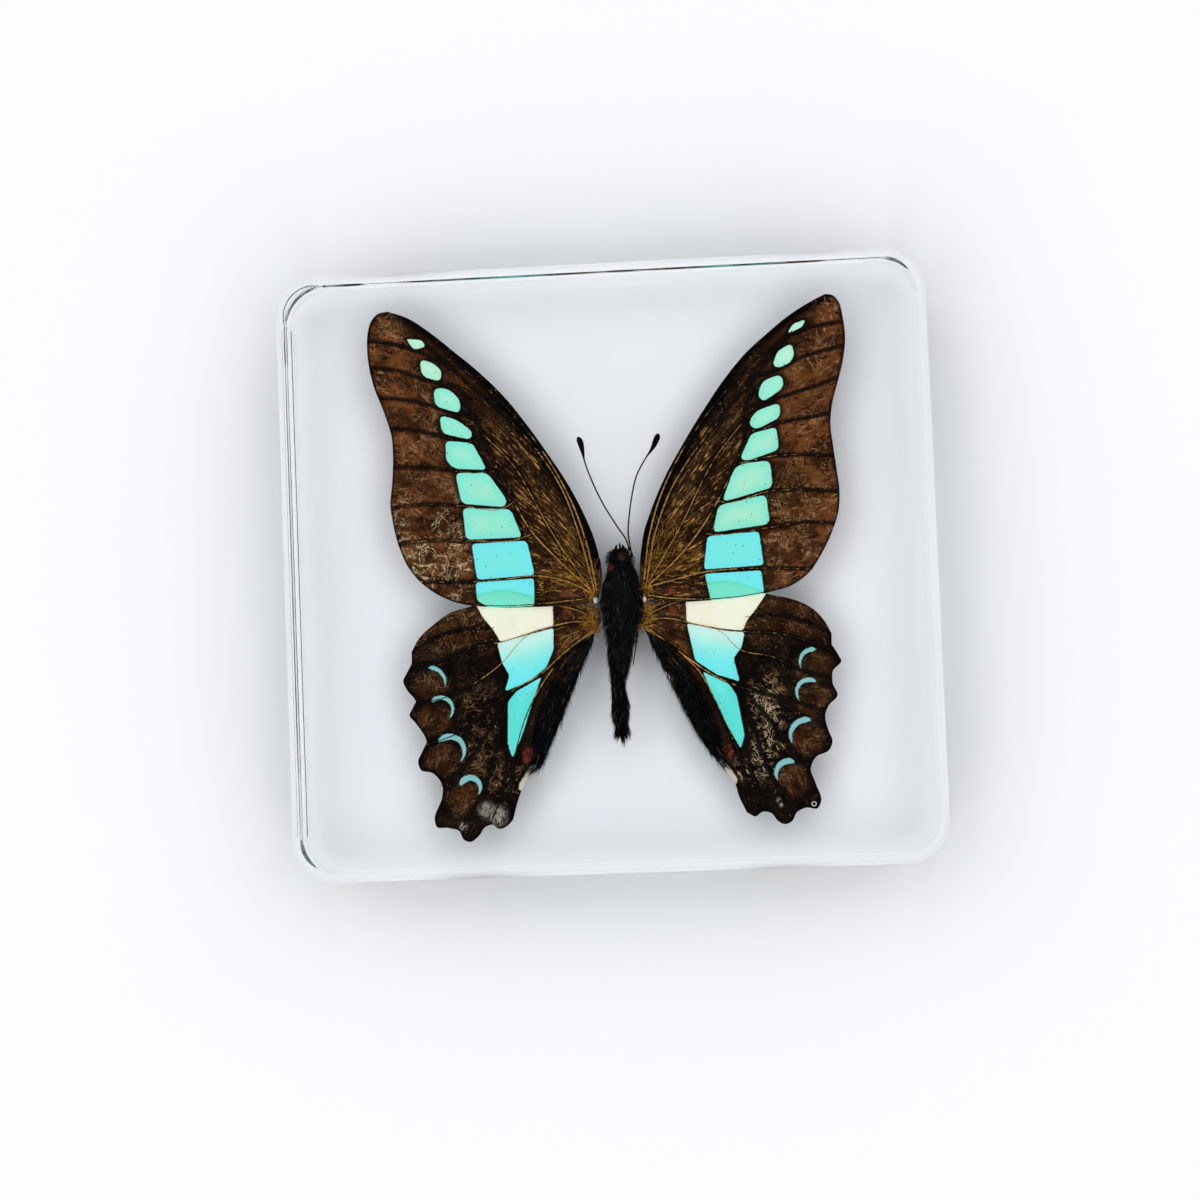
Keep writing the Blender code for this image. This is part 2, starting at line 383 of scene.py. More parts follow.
HINDWING_VEINS = {
    "left": [
        ([(-1.9, -6.2), (-4.5, -6.1), (-7.1, -6.55), (-12.9, -8.1), (-17.2, -8.8), (-20.2, -10.0),
          (-23.5, -10.4)], 0.13, 0.08, 1.0, 0.1),
        ([(-9.2, -7.1), (-10.5, -8.0), (-12.6, -10.3), (-14.9, -12.0), (-19.4, -14.2), (-23.1, -14.8)],
         0.07, 0.10, 1.0, 0.0),
        ([(-1.8, -6.9), (-5.8, -9.8), (-8.3, -11.9), (-11.8, -13.8), (-14.8, -15.9),
          (-18.2, -18.4), (-21.9, -19.6)], 0.15, 0.10, 0.9, 0.0),
        ([(-1.9, -7.2), (-5.8, -10.2), (-8.5, -13.5), (-10.2, -16.6), (-11.6, -20.8),
          (-12.3, -24.6), (-12.6, -28.2)], 0.14, 0.08, 0.9, 0.2),
        ([(-12.5, -14.3), (-14.8, -18.4), (-17.2, -21.8), (-20.4, -24.4)], 0.10, 0.10, 0.0, 0.0),
        ([(-12.4, -14.5), (-13.6, -19.5), (-15.2, -24.5), (-18.4, -29.6)], 0.10, 0.10, 0.0, 0.0),
        ([(-12.4, -20.0), (-13.2, -24.8), (-14.8, -29.1)], 0.09, 0.10, 0.0, 0.1),
        ([(-13.6, -6.4), (-17.6, -6.5), (-20.6, -7.3), (-23.0, -8.6)], 0.06, 0.07, 0.3, 0.0),
        ([(-2.0, -5.6), (-5.0, -4.4), (-8.0, -4.0), (-12.0, -3.9)], 0.11, 0.06, 0.9, 0.5),
    ],
    "right": [
        ([(4.0, -6.2), (6.4, -6.1), (8.9, -6.7), (12.7, -7.7), (15.3, -8.0), (19.7, -8.5),
          (23.2, -9.7), (25.3, -10.6)], 0.13, 0.08, 1.0, 0.3),
        ([(12.0, -7.5), (12.9, -8.2), (14.6, -10.0), (18.3, -11.0), (21.7, -12.7), (25.1, -13.7)],
         0.07, 0.10, 1.0, 0.0),
        ([(3.9, -6.9), (8.8, -10.9), (11.9, -13.1), (15.3, -14.6), (19.5, -15.8), (24.2, -17.5)],
         0.15, 0.10, 0.9, 0.1),
        ([(4.0, -7.3), (7.4, -9.9), (9.8, -12.2), (11.5, -15.5), (13.0, -19.2), (14.1, -22.0),
          (14.7, -25.0), (15.1, -28.3)], 0.14, 0.08, 0.9, 0.2),
        ([(14.8, -14.6), (17.2, -17.5), (19.8, -21.0), (22.2, -23.8)], 0.10, 0.10, 0.0, 0.1),
        ([(14.7, -15.0), (16.2, -20.0), (17.6, -24.5), (20.4, -28.8)], 0.10, 0.10, 0.0, 0.1),
        ([(14.9, -20.5), (15.6, -24.8), (16.9, -28.7)], 0.09, 0.10, 0.0, 0.1),
        ([(15.4, -6.3), (19.6, -6.3), (22.6, -7.3), (24.9, -8.4)], 0.06, 0.07, 0.3, 0.0),
        ([(4.2, -5.6), (7.0, -4.5), (10.2, -4.0), (14.0, -3.9)], 0.11, 0.06, 0.9, 0.5),
    ],
}

# Width of the velvety fold along the hindwing's inner margin, at even steps from the root to the tail
FOLD_WIDTHS = (0.4, 1.9, 2.7, 3.0, 2.9, 2.5, 1.7, 0.5, 0.15, 0.1)


# ---------------------------------------------------------------------------------------------------------
# Curves, distances and surfaces


def curve_through(points, count):
    """Smooth curve through the points, as cubic Hermite pieces whose slopes are those of the neighbouring
    chords, read at `count` places evenly spaced along its length."""
    knots = np.asarray(points, float)
    at = np.r_[0.0, np.cumsum(np.linalg.norm(np.diff(knots, axis=0), axis=1))]
    slopes = np.gradient(knots, at, axis=0)
    fine = np.linspace(0.0, at[-1], count * 8)
    piece = np.clip(np.searchsorted(at, fine, side="right") - 1, 0, len(knots) - 2)
    span = (at[piece + 1] - at[piece])[:, None]
    t = (fine - at[piece])[:, None] / span
    read = (
        (2 * t**3 - 3 * t**2 + 1) * knots[piece]
        + (t**3 - 2 * t**2 + t) * span * slopes[piece]
        + (3 * t**2 - 2 * t**3) * knots[piece + 1]
        + (t**3 - t**2) * span * slopes[piece + 1]
    )
    run = np.r_[0.0, np.cumsum(np.linalg.norm(np.diff(read, axis=0), axis=1))]
    even = np.linspace(0.0, run[-1], count)
    return np.stack([np.interp(even, run, read[:, k]) for k in range(read.shape[1])], 1)


def arc_through(start, crown, end, count):
    """Circular arc through three points: the circle about the place equally far from all three, read at even
    angles from the start, by way of the crown, to the end."""
    a, b, c = (np.asarray(point, float) for point in (start, crown, end))
    middle = np.linalg.solve(2 * np.array([b - a, c - a]), np.array([b @ b - a @ a, c @ c - a @ a]))
    angle = np.unwrap([math.atan2(*(point - middle)[::-1]) for point in (a, b, c)])
    turn = np.linspace(angle[0], angle[2], count)
    return middle + np.linalg.norm(a - middle) * np.stack([np.cos(turn), np.sin(turn)], 1)


def step(value, low, high):
    """Smooth step: 0 up to low, 1 from high, and 3t^2 - 2t^3 between them."""
    t = np.clip((value - low) / (high - low), 0.0, 1.0)
    return t * t * (3 - 2 * t)


def rounded_outline(corners, radius, steps=7):
    """Closed outline whose corners are quadratic Bezier arcs that start and end `radius` from the corner."""
    here = np.asarray(corners, float)
    before, after = np.roll(here, 1, 0), np.roll(here, -1, 0)
    back, on = before - here, after - here
    reach_back = np.minimum(radius, 0.48 * np.linalg.norm(back, axis=1))[:, None]
    reach_on = np.minimum(radius, 0.48 * np.linalg.norm(on, axis=1))[:, None]
    start = here + back / np.linalg.norm(back, axis=1)[:, None] * reach_back
    end = here + on / np.linalg.norm(on, axis=1)[:, None] * reach_on
    t = np.linspace(0, 1, steps)[None, :, None]
    arcs = (1 - t) ** 2 * start[:, None] + 2 * t * (1 - t) * here[:, None] + t**2 * end[:, None]
    return arcs.reshape(-1, 2)


def distance_to_path(spot, path):
    """Distance from each spot to an open path, and how far along it, 0 to 1, the nearest place lies."""
    best = np.full(spot.shape[:-1], 1e9)
    where = np.zeros(spot.shape[:-1])
    pieces = len(path) - 1
    for k in range(pieces):
        edge = path[k + 1] - path[k]
        t = np.clip(((spot - path[k]) @ edge) / (edge @ edge + 1e-12), 0, 1)
        away = np.linalg.norm(spot - path[k] - t[..., None] * edge, axis=-1)
        nearer = away < best
        best = np.where(nearer, away, best)
        where = np.where(nearer, (k + t) / pieces, where)
    return best, where


def depth_in_outline(spot, outline):
    """Distance from each spot to a closed outline, positive inside it, by the even-odd rule."""
    loop = np.vstack([outline, outline[:1]])
    away, _ = distance_to_path(spot, loop)
    inside = np.zeros(away.shape, bool)
    for a, b in zip(loop[:-1], loop[1:]):
        crosses = (a[1] > spot[..., 1]) != (b[1] > spot[..., 1])
        rise = np.where(abs(b[1] - a[1]) < 1e-9, 1e-9, b[1] - a[1])
        inside ^= crosses & (spot[..., 0] < (b[0] - a[0]) * (spot[..., 1] - a[1]) / rise + a[0])
    return np.where(inside, away, -away)


def depth_in_ellipse(spot, centre, half):
    """Nearly the distance into an ellipse: one less the scaled radius, times the smaller half size."""
    scaled = np.linalg.norm((spot - np.array(centre)) / np.array(half), axis=-1)
    return (1 - scaled) * min(half)


def coons_patch(lead, rear, root, tip):
    """Surface between four curves: the two blends of opposite sides, less the blend of the corners. lead and
    rear run outwards and have one length, root and tip run from lead to rear and have the other."""
    u = np.linspace(0, 1, len(lead))[:, None, None]
    v = np.linspace(0, 1, len(root))[None, :, None]
    sides = (1 - v) * lead[:, None] + v * rear[:, None]
    ends = (1 - u) * root[None] + u * tip[None]
    corners = (
        (1 - u) * (1 - v) * lead[0] + u * (1 - v) * lead[-1] + (1 - u) * v * rear[0] + u * v * rear[-1]
    )
    return sides + ends - corners


def grid_faces(rows, columns, wrap=False):
    """Quads of a grid of rows by columns points. With wrap, the last column joins the first."""
    across = np.arange(columns if wrap else columns - 1)
    down = np.arange(rows - 1)[:, None] * columns
    a = (down + across).ravel()
    b = (down + (across + 1) % columns).ravel()
    return np.stack([a, b, b + columns, a + columns], 1)


def ringed_faces(rings, sides):
    """Faces of a stack of rings, closed at its first and last ring by two points that come after them."""
    here = np.arange(sides)
    after = (here + 1) % sides
    last, pole = (rings - 1) * sides, rings * sides
    return [
        grid_faces(rings, sides, wrap=True)[:, ::-1],
        np.stack([here, after, np.full(sides, pole)], 1),
        np.stack([last + after, last + here, np.full(sides, pole + 1)], 1),
    ]


def put_mesh(name, points, faces, fields=None):
    """Object with the given points in millimetres, lists of equal-sided faces, and fields on its points."""
    mesh = bpy.data.meshes.new(name)
    loops = np.concatenate([part.ravel() for part in faces]).astype(np.int32)
    sizes = np.concatenate([np.full(len(part), part.shape[1]) for part in faces])
    starts = np.r_[0, np.cumsum(sizes)[:-1]].astype(np.int32)
    mesh.vertices.add(len(points))
    mesh.vertices.foreach_set("co", (np.asarray(points, float) * MM).astype(np.float32).ravel())
    mesh.loops.add(len(loops))
    mesh.loops.foreach_set("vertex_index", loops)
    mesh.polygons.add(len(starts))
    mesh.polygons.foreach_set("loop_start", starts)
    mesh.update(calc_edges=True)
    mesh.validate()
    mesh.shade_smooth()
    for key, values in (fields or {}).items():
        values = np.asarray(values, np.float32)
        kind, slot = ("FLOAT_VECTOR", "vector") if values.ndim == 2 else ("FLOAT", "value")
        mesh.attributes.new(key, kind, "POINT").data.foreach_set(slot, values.ravel())
    piece = bpy.data.objects.new(name, mesh)
    bpy.context.scene.collection.objects.link(piece)
    return piece


def joined(parts):
    """One set of points, faces and fields from many (points, faces, fields)."""
    points, faces, fields, first = [], [], {}, 0
    for part_points, part_faces, part_fields in parts:
        points.append(part_points)
        faces += [face + first for face in part_faces]
        for key, values in part_fields.items():
            fields.setdefault(key, []).append(values)
        first += len(part_points)
    return np.vstack(points), faces, {key: np.concatenate(values) for key, values in fields.items()}


def closed_sheet(sheet, thickness):
    """Points and faces of a thin closed sheet: the grid half a thickness up, the same half a thickness down,
    and a strip round the border. Either the two faces or the strip are reversed, so that all point out."""
    rows, columns = sheet.shape[:2]
    lift = np.array([0, 0, thickness / 2])
    upper, lower = (sheet + lift).reshape(-1, 3), (sheet - lift).reshape(-1, 3)
    count = rows * columns
    faces = grid_faces(rows, columns)
    index = np.arange(count).reshape(rows, columns)
    border = np.concatenate([index[:-1, 0], index[-1, :-1], index[:0:-1, -1], index[0, :0:-1]])
    following = np.roll(border, -1)
    edge_u, edge_v = sheet[-1, 0] - sheet[0, 0], sheet[0, -1] - sheet[0, 0]
    strip = np.stack([border, border + count, following + count, following], 1)
    if np.cross(edge_u[:2], edge_v[:2]) > 0:
        faces = faces[:, ::-1]
    else:
        strip = strip[:, ::-1]
    return np.vstack([upper, lower]), [faces, faces[:, ::-1] + count, strip]


def unit(vectors):
    """The same directions with length one."""
    return vectors / (np.linalg.norm(vectors, axis=-1, keepdims=True) + 1e-9)


def axes_along(path):
    """Directions ahead along a path, level to its side, and over it. Where the path is steep, +Y stands in
    for +Z."""
    ahead = np.gradient(path, axis=0)
    ahead /= np.linalg.norm(ahead, axis=1)[:, None]
    side = np.cross(ahead, np.array([0.0, 0.0, 1.0]))
    steep = np.linalg.norm(side, axis=1) < 0.05
    side[steep] = np.cross(ahead[steep], np.array([0.0, 1.0, 0.0]))
    side /= np.linalg.norm(side, axis=1)[:, None]
    return ahead, side, np.cross(side, ahead)


def around_once(sides):
    """Angles evenly spaced round a full turn."""
    return np.arange(sides) / sides * 2 * math.pi


def tube(path, radius, sides=8, flat=1.0):
    """Round tube along a path: rings square to it, closed by a point 0.6 of a radius past each end. flat
    scales its height."""
    path = np.asarray(path, float)
    radius = np.broadcast_to(np.asarray(radius, float), (len(path),))
    ahead, side, over = axes_along(path)
    turn = around_once(sides)
    rings = path[:, None] + radius[:, None, None] * (
        np.cos(turn)[None, :, None] * side[:, None] + flat * np.sin(turn)[None, :, None] * over[:, None]
    )
    poles = path[0] - ahead[0] * radius[0] * 0.6, path[-1] + ahead[-1] * radius[-1] * 0.6
    return np.vstack([rings.reshape(-1, 3), *poles]), ringed_faces(len(path), sides)


def lathe(path, half_width, half_height, sides=48, lump=None):
    """Closed body along a path: oval rings whose half sizes are given, closed by a point just past each end.
    lump gives how much each place swells, from its way along and its angle. The rings come back as well."""
    path = np.asarray(path, float)
    ahead, side, over = axes_along(path)
    turn = around_once(sides)
    along = np.linspace(0, 1, len(path))[:, None]
    swell = np.ones((len(path), sides)) if lump is None else lump(along, turn[None])
    rings = path[:, None] + swell[..., None] * (
        (half_width[:, None] * np.cos(turn)[None])[..., None] * side[:, None]
        + (half_height[:, None] * np.sin(turn)[None])[..., None] * over[:, None]
    )
    poles = path[0] - ahead[0] * 0.02, path[-1] + ahead[-1] * 0.02
    return np.vstack([rings.reshape(-1, 3), *poles]), ringed_faces(len(path), sides), rings


def ball(centre, half, rows=24, sides=36):
    """Ellipsoid: circles of radius sin(t) at height cos(t), scaled by the three half sizes."""
    t = np.linspace(0, math.pi, rows + 2)[1:-1]
    turn = around_once(sides)
    rings = np.stack(
        [np.sin(t)[:, None] * np.cos(turn)[None], np.sin(t)[:, None] * np.sin(turn)[None],
         np.broadcast_to(np.cos(t)[:, None], (rows, sides))], -1,
    )
    points = np.vstack([rings.reshape(-1, 3), [[0, 0, 1.0]], [[0, 0, -1.0]]])
    return points * np.array(half) + np.array(centre), ringed_faces(rows, sides)


def strands(roots, heading, length, radius, bend, shade):
    """Thin hairs. Each is a three-sided spike of three rings and a tip; its middle line is the root, plus the
    heading times the way along, plus the bend times the square of the way along."""
    count = len(roots)
    along = np.array([0.0, 0.35, 0.7, 1.0])
    line = (
        roots[:, None]
        + heading[:, None] * (along[None, :, None] * length[:, None, None])
        + bend[:, None] * (along[None, :, None] ** 2 * length[:, None, None])
    )
    side = np.cross(heading, np.array([0.31, 0.17, 0.93]))
    side /= np.linalg.norm(side, axis=1)[:, None] + 1e-9
    over = np.cross(side, heading)
    turn = around_once(3)
    ring = np.cos(turn)[None, :, None] * side[:, None] + np.sin(turn)[None, :, None] * over[:, None]
    width = radius[:, None] * np.array([1.0, 0.85, 0.5])[None]
    rings = line[:, :3, None] + width[:, :, None, None] * ring[:, None]
    points = np.concatenate([rings.reshape(count, 9, 3), line[:, 3:4]], 1).reshape(-1, 3)
    here = np.arange(3)
    after = (here + 1) % 3
    quads = np.concatenate([np.stack([k + 3 + here, k + 3 + after, k + after, k + here], 1) for k in (0, 3)])
    tips = np.concatenate([np.stack([6 + after, 6 + here, np.full(3, 9)], 1), [[0, 1, 2]]])
    base = np.arange(count)[:, None, None] * 10
    faces = [(base + quads[None]).reshape(-1, 4), (base + tips[None]).reshape(-1, 3)]
    fields = {"shade": np.repeat(shade, 10), "along": np.tile(np.repeat(along, (3, 3, 3, 1)), count)}
    return points, faces, fields


# ---------------------------------------------------------------------------------------------------------
# Node wiring


class Wiring:
    """Short way to lay down and join nodes in one tree."""

    def __init__(self, tree):
        self.tree = tree

    def add(self, kind, **settings):
        """New node of a kind, with its settings."""
        node = self.tree.nodes.new(kind)
        for key, value in settings.items():
            setattr(node, key, value)
        return node

    def join(self, source, socket):
        """Link a socket to a socket, or set a value on it; a colour gets a full alpha."""
        if isinstance(source, bpy.types.NodeSocket):
            self.tree.links.new(source, socket)
        elif hasattr(source, "__len__") and len(source) == 3 and len(socket.default_value) == 4:
            socket.default_value = (*source, 1.0)
        else:
            socket.default_value = source

    def math(self, operation, first, second=0.0, third=0.0, clamp=False):
        """The operation on up to three numbers, held between 0 and 1 where asked."""
        node = self.add("ShaderNodeMath", operation=operation, use_clamp=clamp)
        for value, socket in zip((first, second, third), node.inputs):
            self.join(value, socket)
        return node.outputs[0]

    def times(self, first, second, clamp=False):
        """The product of two numbers."""
        return self.math("MULTIPLY", first, second, clamp=clamp)

    def mix(self, factor, first, second):
        """First colour at factor 0, second colour at factor 1, in a straight line between them."""
        node = self.add("ShaderNodeMix", data_type="RGBA", blend_type="MIX")
        self.join(factor, node.inputs[0])
        self.join(first, node.inputs[6])
        self.join(second, node.inputs[7])
        return node.outputs[2]

    def span(self, value, low, high, to_low=0.0, to_high=1.0, kind="SMOOTHSTEP"):
        """Map low..high to to_low..to_high by a smooth step, and hold it beyond them."""
        node = self.add("ShaderNodeMapRange", interpolation_type=kind)
        for number, socket in zip((value, low, high, to_low, to_high), node.inputs):
            self.join(number, socket)
        return node.outputs[0]

    def ramp(self, value, low, high, to_low=0.0, to_high=1.0):
        """Map low..high to to_low..to_high in a straight line, and hold it beyond them."""
        return self.span(value, low, high, to_low, to_high, "LINEAR")

    def around(self, value, spread, base):
        """Base, moved up or down by the spread as the value goes over or under a half."""
        return self.math("MULTIPLY_ADD", self.math("SUBTRACT", value, 0.5), spread, base)

    def scaled(self, vector, scale):
        """The vector times the scale, axis by axis."""
        node = self.add("ShaderNodeVectorMath", operation="MULTIPLY")
        self.join(vector, node.inputs[0])
        self.join(scale, node.inputs[1])
        return node.outputs[0]

    def noise(self, vector, scale, detail=2.0, roughness=0.5, distortion=0.0):
        """Fractal noise around a half at a place: the scale sets its fineness, the detail its octaves."""
        node = self.add("ShaderNodeTexNoise")
        self.join(vector, node.inputs["Vector"])
        for key, value in (
            ("Scale", scale), ("Detail", detail), ("Roughness", roughness), ("Distortion", distortion),
        ):
            self.join(value, node.inputs[key])
        return node.outputs[0]

    def cells(self, vector, scale, feature="F1"):
        """Distance to the nearest cell's point or edge, and a random number of that cell."""
        node = self.add("ShaderNodeTexVoronoi", feature=feature)
        self.join(vector, node.inputs["Vector"])
        self.join(scale, node.inputs["Scale"])
        if feature != "F1":
            return node.outputs["Distance"], None
        split = self.add("ShaderNodeSeparateColor")
        self.join(node.outputs["Color"], split.inputs[0])
        return node.outputs["Distance"], split.outputs[0]

    def field(self, name, vector=False):
        """A field stored on the piece's points, as a number or as a vector."""
        node = self.add("ShaderNodeAttribute", attribute_name=name)
        return node.outputs["Vector" if vector else "Fac"]

    def group(self, tree, **values):
        """Outputs of a node group, with the values on its inputs."""
        node = self.add("ShaderNodeGroup", node_tree=tree)
        for key, value in values.items():
            self.join(value, node.inputs[key])
        return node.outputs


def new_group(name, inputs, outputs):
    """Empty node group with the named inputs (kind, default) and outputs, and its wiring."""
    tree = bpy.data.node_groups.new(name, "ShaderNodeTree")
    for key, kind, default in inputs:
        socket = tree.interface.new_socket(name=key, in_out="INPUT", socket_type=kind)
        if default is not None:
            socket.default_value = default
    for key in outputs:
        kind = "NodeSocketColor" if key == "Colour" else "NodeSocketFloat"
        tree.interface.new_socket(name=key, in_out="OUTPUT", socket_type=kind)
    wires = Wiring(tree)
    return tree, wires, wires.add("NodeGroupInput").outputs, wires.add("NodeGroupOutput").inputs


def shared_group(name, build):
    """The node group of this name, built the first time that it is asked for."""
    return bpy.data.node_groups.get(name) or build(name)


def build_marking_edge(name):
    """Mask of a marking from the distance into it in millimetres: noise moves the edge a little in or out,
    and a smooth step as wide as the softness crosses it."""
    tree, wires, given, out = new_group(
        name,
        [("Depth", "NodeSocketFloat", 0.0), ("Spot", "NodeSocketVector", None),
         ("Wobble", "NodeSocketFloat", 0.06), ("Softness", "NodeSocketFloat", 0.05)],
        ["Mask"],
    )
    rough = wires.noise(given["Spot"], 2.6, 3.0, 0.6)
    moved = wires.around(rough, wires.times(given["Wobble"], 4.0), given["Depth"])
    wires.join(wires.span(moved, wires.times(given["Softness"], -1.0), given["Softness"]), out["Mask"])
    return tree


def build_scale_grain(name):
    """Grain of the wing scales from flow coordinates in millimetres, x along the wing and y across it: fine
    rows, dark furrows, pale wisps in clumps, gold streaks, specks in clumps, and broad patches."""
    tree, wires, given, out = new_group(
        name,
        [("Flow", "NodeSocketVector", None), ("Spot", "NodeSocketVector", None)],
        ["Grain", "Furrow", "Wisp", "Streak", "Speck", "Patch"],
    )
    flow, spot = given["Flow"], given["Spot"]

    def drawn_out(stretch, roughness, distortion=0.0):
        """Noise on the flow coordinates after each is multiplied by its stretch."""
        return wires.noise(wires.scaled(flow, stretch), 1.0, 3.0, roughness, distortion)

    wires.join(wires.span(wires.noise(spot, 5.5, 4.0, 0.7), 0.32, 0.68), out["Grain"])

    furrow = wires.math("ABSOLUTE", wires.math("SUBTRACT", drawn_out((0.40, 1.5, 1.0), 0.60, 1.0), 0.5))
    deep = wires.span(wires.noise(spot, 0.55, 2.0, 0.55), 0.40, 0.60, 0.25, 1.0)
    wires.join(wires.times(wires.span(furrow, 0.006, 0.046, 1.0, 0.0), deep), out["Furrow"])

    clump = wires.span(wires.noise(spot, 0.40, 3.0, 0.6), 0.44, 0.62)
    wisp = wires.span(drawn_out((0.50, 2.6, 1.0), 0.62, 1.0), 0.585, 0.635)
    wires.join(wires.times(wisp, clump), out["Wisp"])

    streak = wires.span(drawn_out((0.24, 3.0, 1.0), 0.60, 0.9), 0.535, 0.600)
    broken = wires.span(drawn_out((0.9, 1.8, 1.0), 0.62), 0.43, 0.56)
    wires.join(wires.times(streak, broken), out["Streak"])

    away, lot = wires.cells(spot, 2.6)
    herd = wires.span(wires.noise(spot, 0.55, 2.0, 0.6), 0.50, 0.60, 0.12, 1.0)
    chosen = wires.times(wires.math("GREATER_THAN", lot, 0.66), herd)
    dot = wires.times(wires.span(away, 0.12, 0.30, 1.0, 0.0), chosen)
    blotch = wires.span(wires.noise(spot, 1.9, 4.0, 0.72, 1.4), 0.60, 0.66)
    blotch = wires.times(blotch, wires.span(herd, 0.4, 1.0))
    wires.join(wires.math("MAXIMUM", dot, blotch), out["Speck"])
    wires.join(wires.span(wires.noise(spot, 0.42, 3.0, 0.6), 0.38, 0.62), out["Patch"])
    return tree


def build_worn_scratches(name):
    """Thin curling lines where scales have come off: places where a distorted noise crosses its middle value,
    kept only in some patches."""
    tree, wires, given, out = new_group(
        name,
        [
            ("Spot", "NodeSocketVector", None),
            ("Size", "NodeSocketFloat", 1.0),
            ("Width", "NodeSocketFloat", 0.02),
        ],
        ["Mask"],
    )
    half_size = wires.times(given["Size"], 0.5)
    masks = []
    for shift, stretch in (((0.0, 0.0, 0.0), (1.0, 0.55, 1.0)), ((31.0, 21.7, 0.0), (0.5, 1.0, 1.0))):
        moved = wires.add("ShaderNodeVectorMath", operation="ADD")
        wires.join(wires.scaled(given["Spot"], stretch), moved.inputs[0])
        wires.join(shift, moved.inputs[1])
        wave = wires.noise(moved.outputs[0], given["Size"], 2.0, 0.60, 1.2)
        away = wires.math("ABSOLUTE", wires.math("SUBTRACT", wave, 0.5))
        line = wires.span(away, 0.0, given["Width"], 1.0, 0.0)
        masks.append(wires.times(line, wires.span(wires.noise(moved.outputs[0], half_size), 0.53, 0.64)))
    wires.join(wires.math("MAXIMUM", *masks), out["Mask"])
    return tree


def build_window_tint(name):
    """Colour of the see-through windows. Tint runs from mint at 0 through aqua to cyan at 1 and on to sea
    green; the middle of a window is paler than its edge, and it is sprinkled with fine darker dots."""
    wings = bpy.context.scene.resin_butterfly_wings
    tree, wires, given, out = new_group(
        name,
        [
            ("Tint", "NodeSocketFloat", 0.5),
            ("Depth", "NodeSocketFloat", 0.5),
            ("Spot", "NodeSocketVector", None),
        ],
        ["Colour"],
    )
    spot = given["Spot"]
    tint = wires.around(wires.noise(spot, 0.8, 3.0, 0.6), 0.35, given["Tint"])
    tint = wires.math("SUBTRACT", tint, wires.span(given["Depth"], 0.15, 1.3, -0.10, 0.10))
    shade = wires.mix(wires.ramp(tint, 0.0, 0.45), wings.mint, wings.aqua)
    shade = wires.mix(wires.ramp(tint, 0.45, 0.95), shade, wings.cyan)
    shade = wires.mix(wires.ramp(tint, 1.0, 1.25), shade, wings.sea)
    shade = wires.mix(wires.span(wires.noise(spot, 7.0, 3.0, 0.65), 0.52, 0.72, 0.0, 0.45), shade, wings.teal)
    away, lot = wires.cells(spot, 1.35)
    dot = wires.times(wires.span(away, 0.07, 0.17, 0.70, 0.0), wires.math("GREATER_THAN", lot, 0.35))
    wires.join(wires.mix(dot, shade, wings.dots), out["Colour"])
    return tree


def new_material(name):
    """Material with its wiring, its principled shader, and the object coordinates in millimetres."""
    material = bpy.data.materials.new(name)
    material.use_nodes = True
    wires = Wiring(material.node_tree)
    shader = material.node_tree.nodes["Principled BSDF"]
    place = wires.add("ShaderNodeTexCoord").outputs["Object"]
    return material, wires, shader, wires.scaled(place, (1 / MM, 1 / MM, 1 / MM))


def scale_colours(wires, wings, spot, grain):
    """Colour of the scales without the windows: black through umber to brown by the tone, then gold streaks,
    worn lines, specks, the dark beside the veins and the border, and the rust spots."""
    tone, wear, gilt, vein = (wires.field(key) for key in ("tone", "wear", "gilt", "vein"))
    scratches = shared_group("Worn Scratches", build_worn_scratches)
    lines = wires.group(scratches, Spot=spot, Size=0.75, Width=0.026)[0]
    fine_lines = wires.group(scratches, Spot=spot, Size=1.45, Width=0.036)[0]

    depth = wires.times(tone, wires.ramp(grain["Grain"], 0.0, 1.0, 0.84, 1.10))
    depth = wires.times(depth, wires.ramp(grain["Furrow"], 0.0, 1.0, 1.0, 0.10))
    depth = wires.times(depth, wires.ramp(grain["Patch"], 0.0, 1.0, 0.55, 1.12))
    shade = wires.mix(wires.ramp(depth, 0.0, 0.35), wings.black, wings.umber)
    shade = wires.mix(wires.ramp(depth, 0.35, 1.0), shade, wings.brown)

    gilding = wires.times(grain["Streak"], wires.span(grain["Grain"], 0.0, 1.0, 0.45, 1.1))
    gilding = wires.times(gilding, wires.span(grain["Patch"], 0.15, 0.75, 0.25, 1.15))
    shade = wires.mix(wires.times(gilding, gilt, clamp=True), shade, wings.gold)

    worn = wires.math("MAXIMUM", wires.math("MAXIMUM", lines, grain["Wisp"]), fine_lines)
    bare = wires.mix(wires.span(wear, 0.55, 1.0), wings.tan, wings.bare)
    shade = wires.mix(wires.times(worn, wear, clamp=True), shade, bare)
    flecked = wires.math("MULTIPLY_ADD", wires.field("fleck"), 0.85, 0.08)
    shade = wires.mix(wires.times(grain["Speck"], flecked, clamp=True), shade, wings.tan)

    shadow = wires.span(wires.around(grain["Grain"], 0.16, vein), 0.08, 0.44, 0.95, 0.0)
    shade = wires.mix(shadow, shade, wings.black)
    shade = wires.mix(wires.span(wires.field("border"), 0.05, 0.5, 0.85, 0.0), shade, wings.black)

    edge = shared_group("Marking Edge", build_marking_edge)
    rust = wires.group(edge, Depth=wires.field("rust"), Spot=spot, Wobble=0.22, Softness=0.18)[0]
    rust = wires.times(rust, wires.span(wires.noise(spot, 1.9, 3.0, 0.65), 0.40, 0.60, 0.10, 0.95))
    return wires.mix(rust, shade, wings.rust)


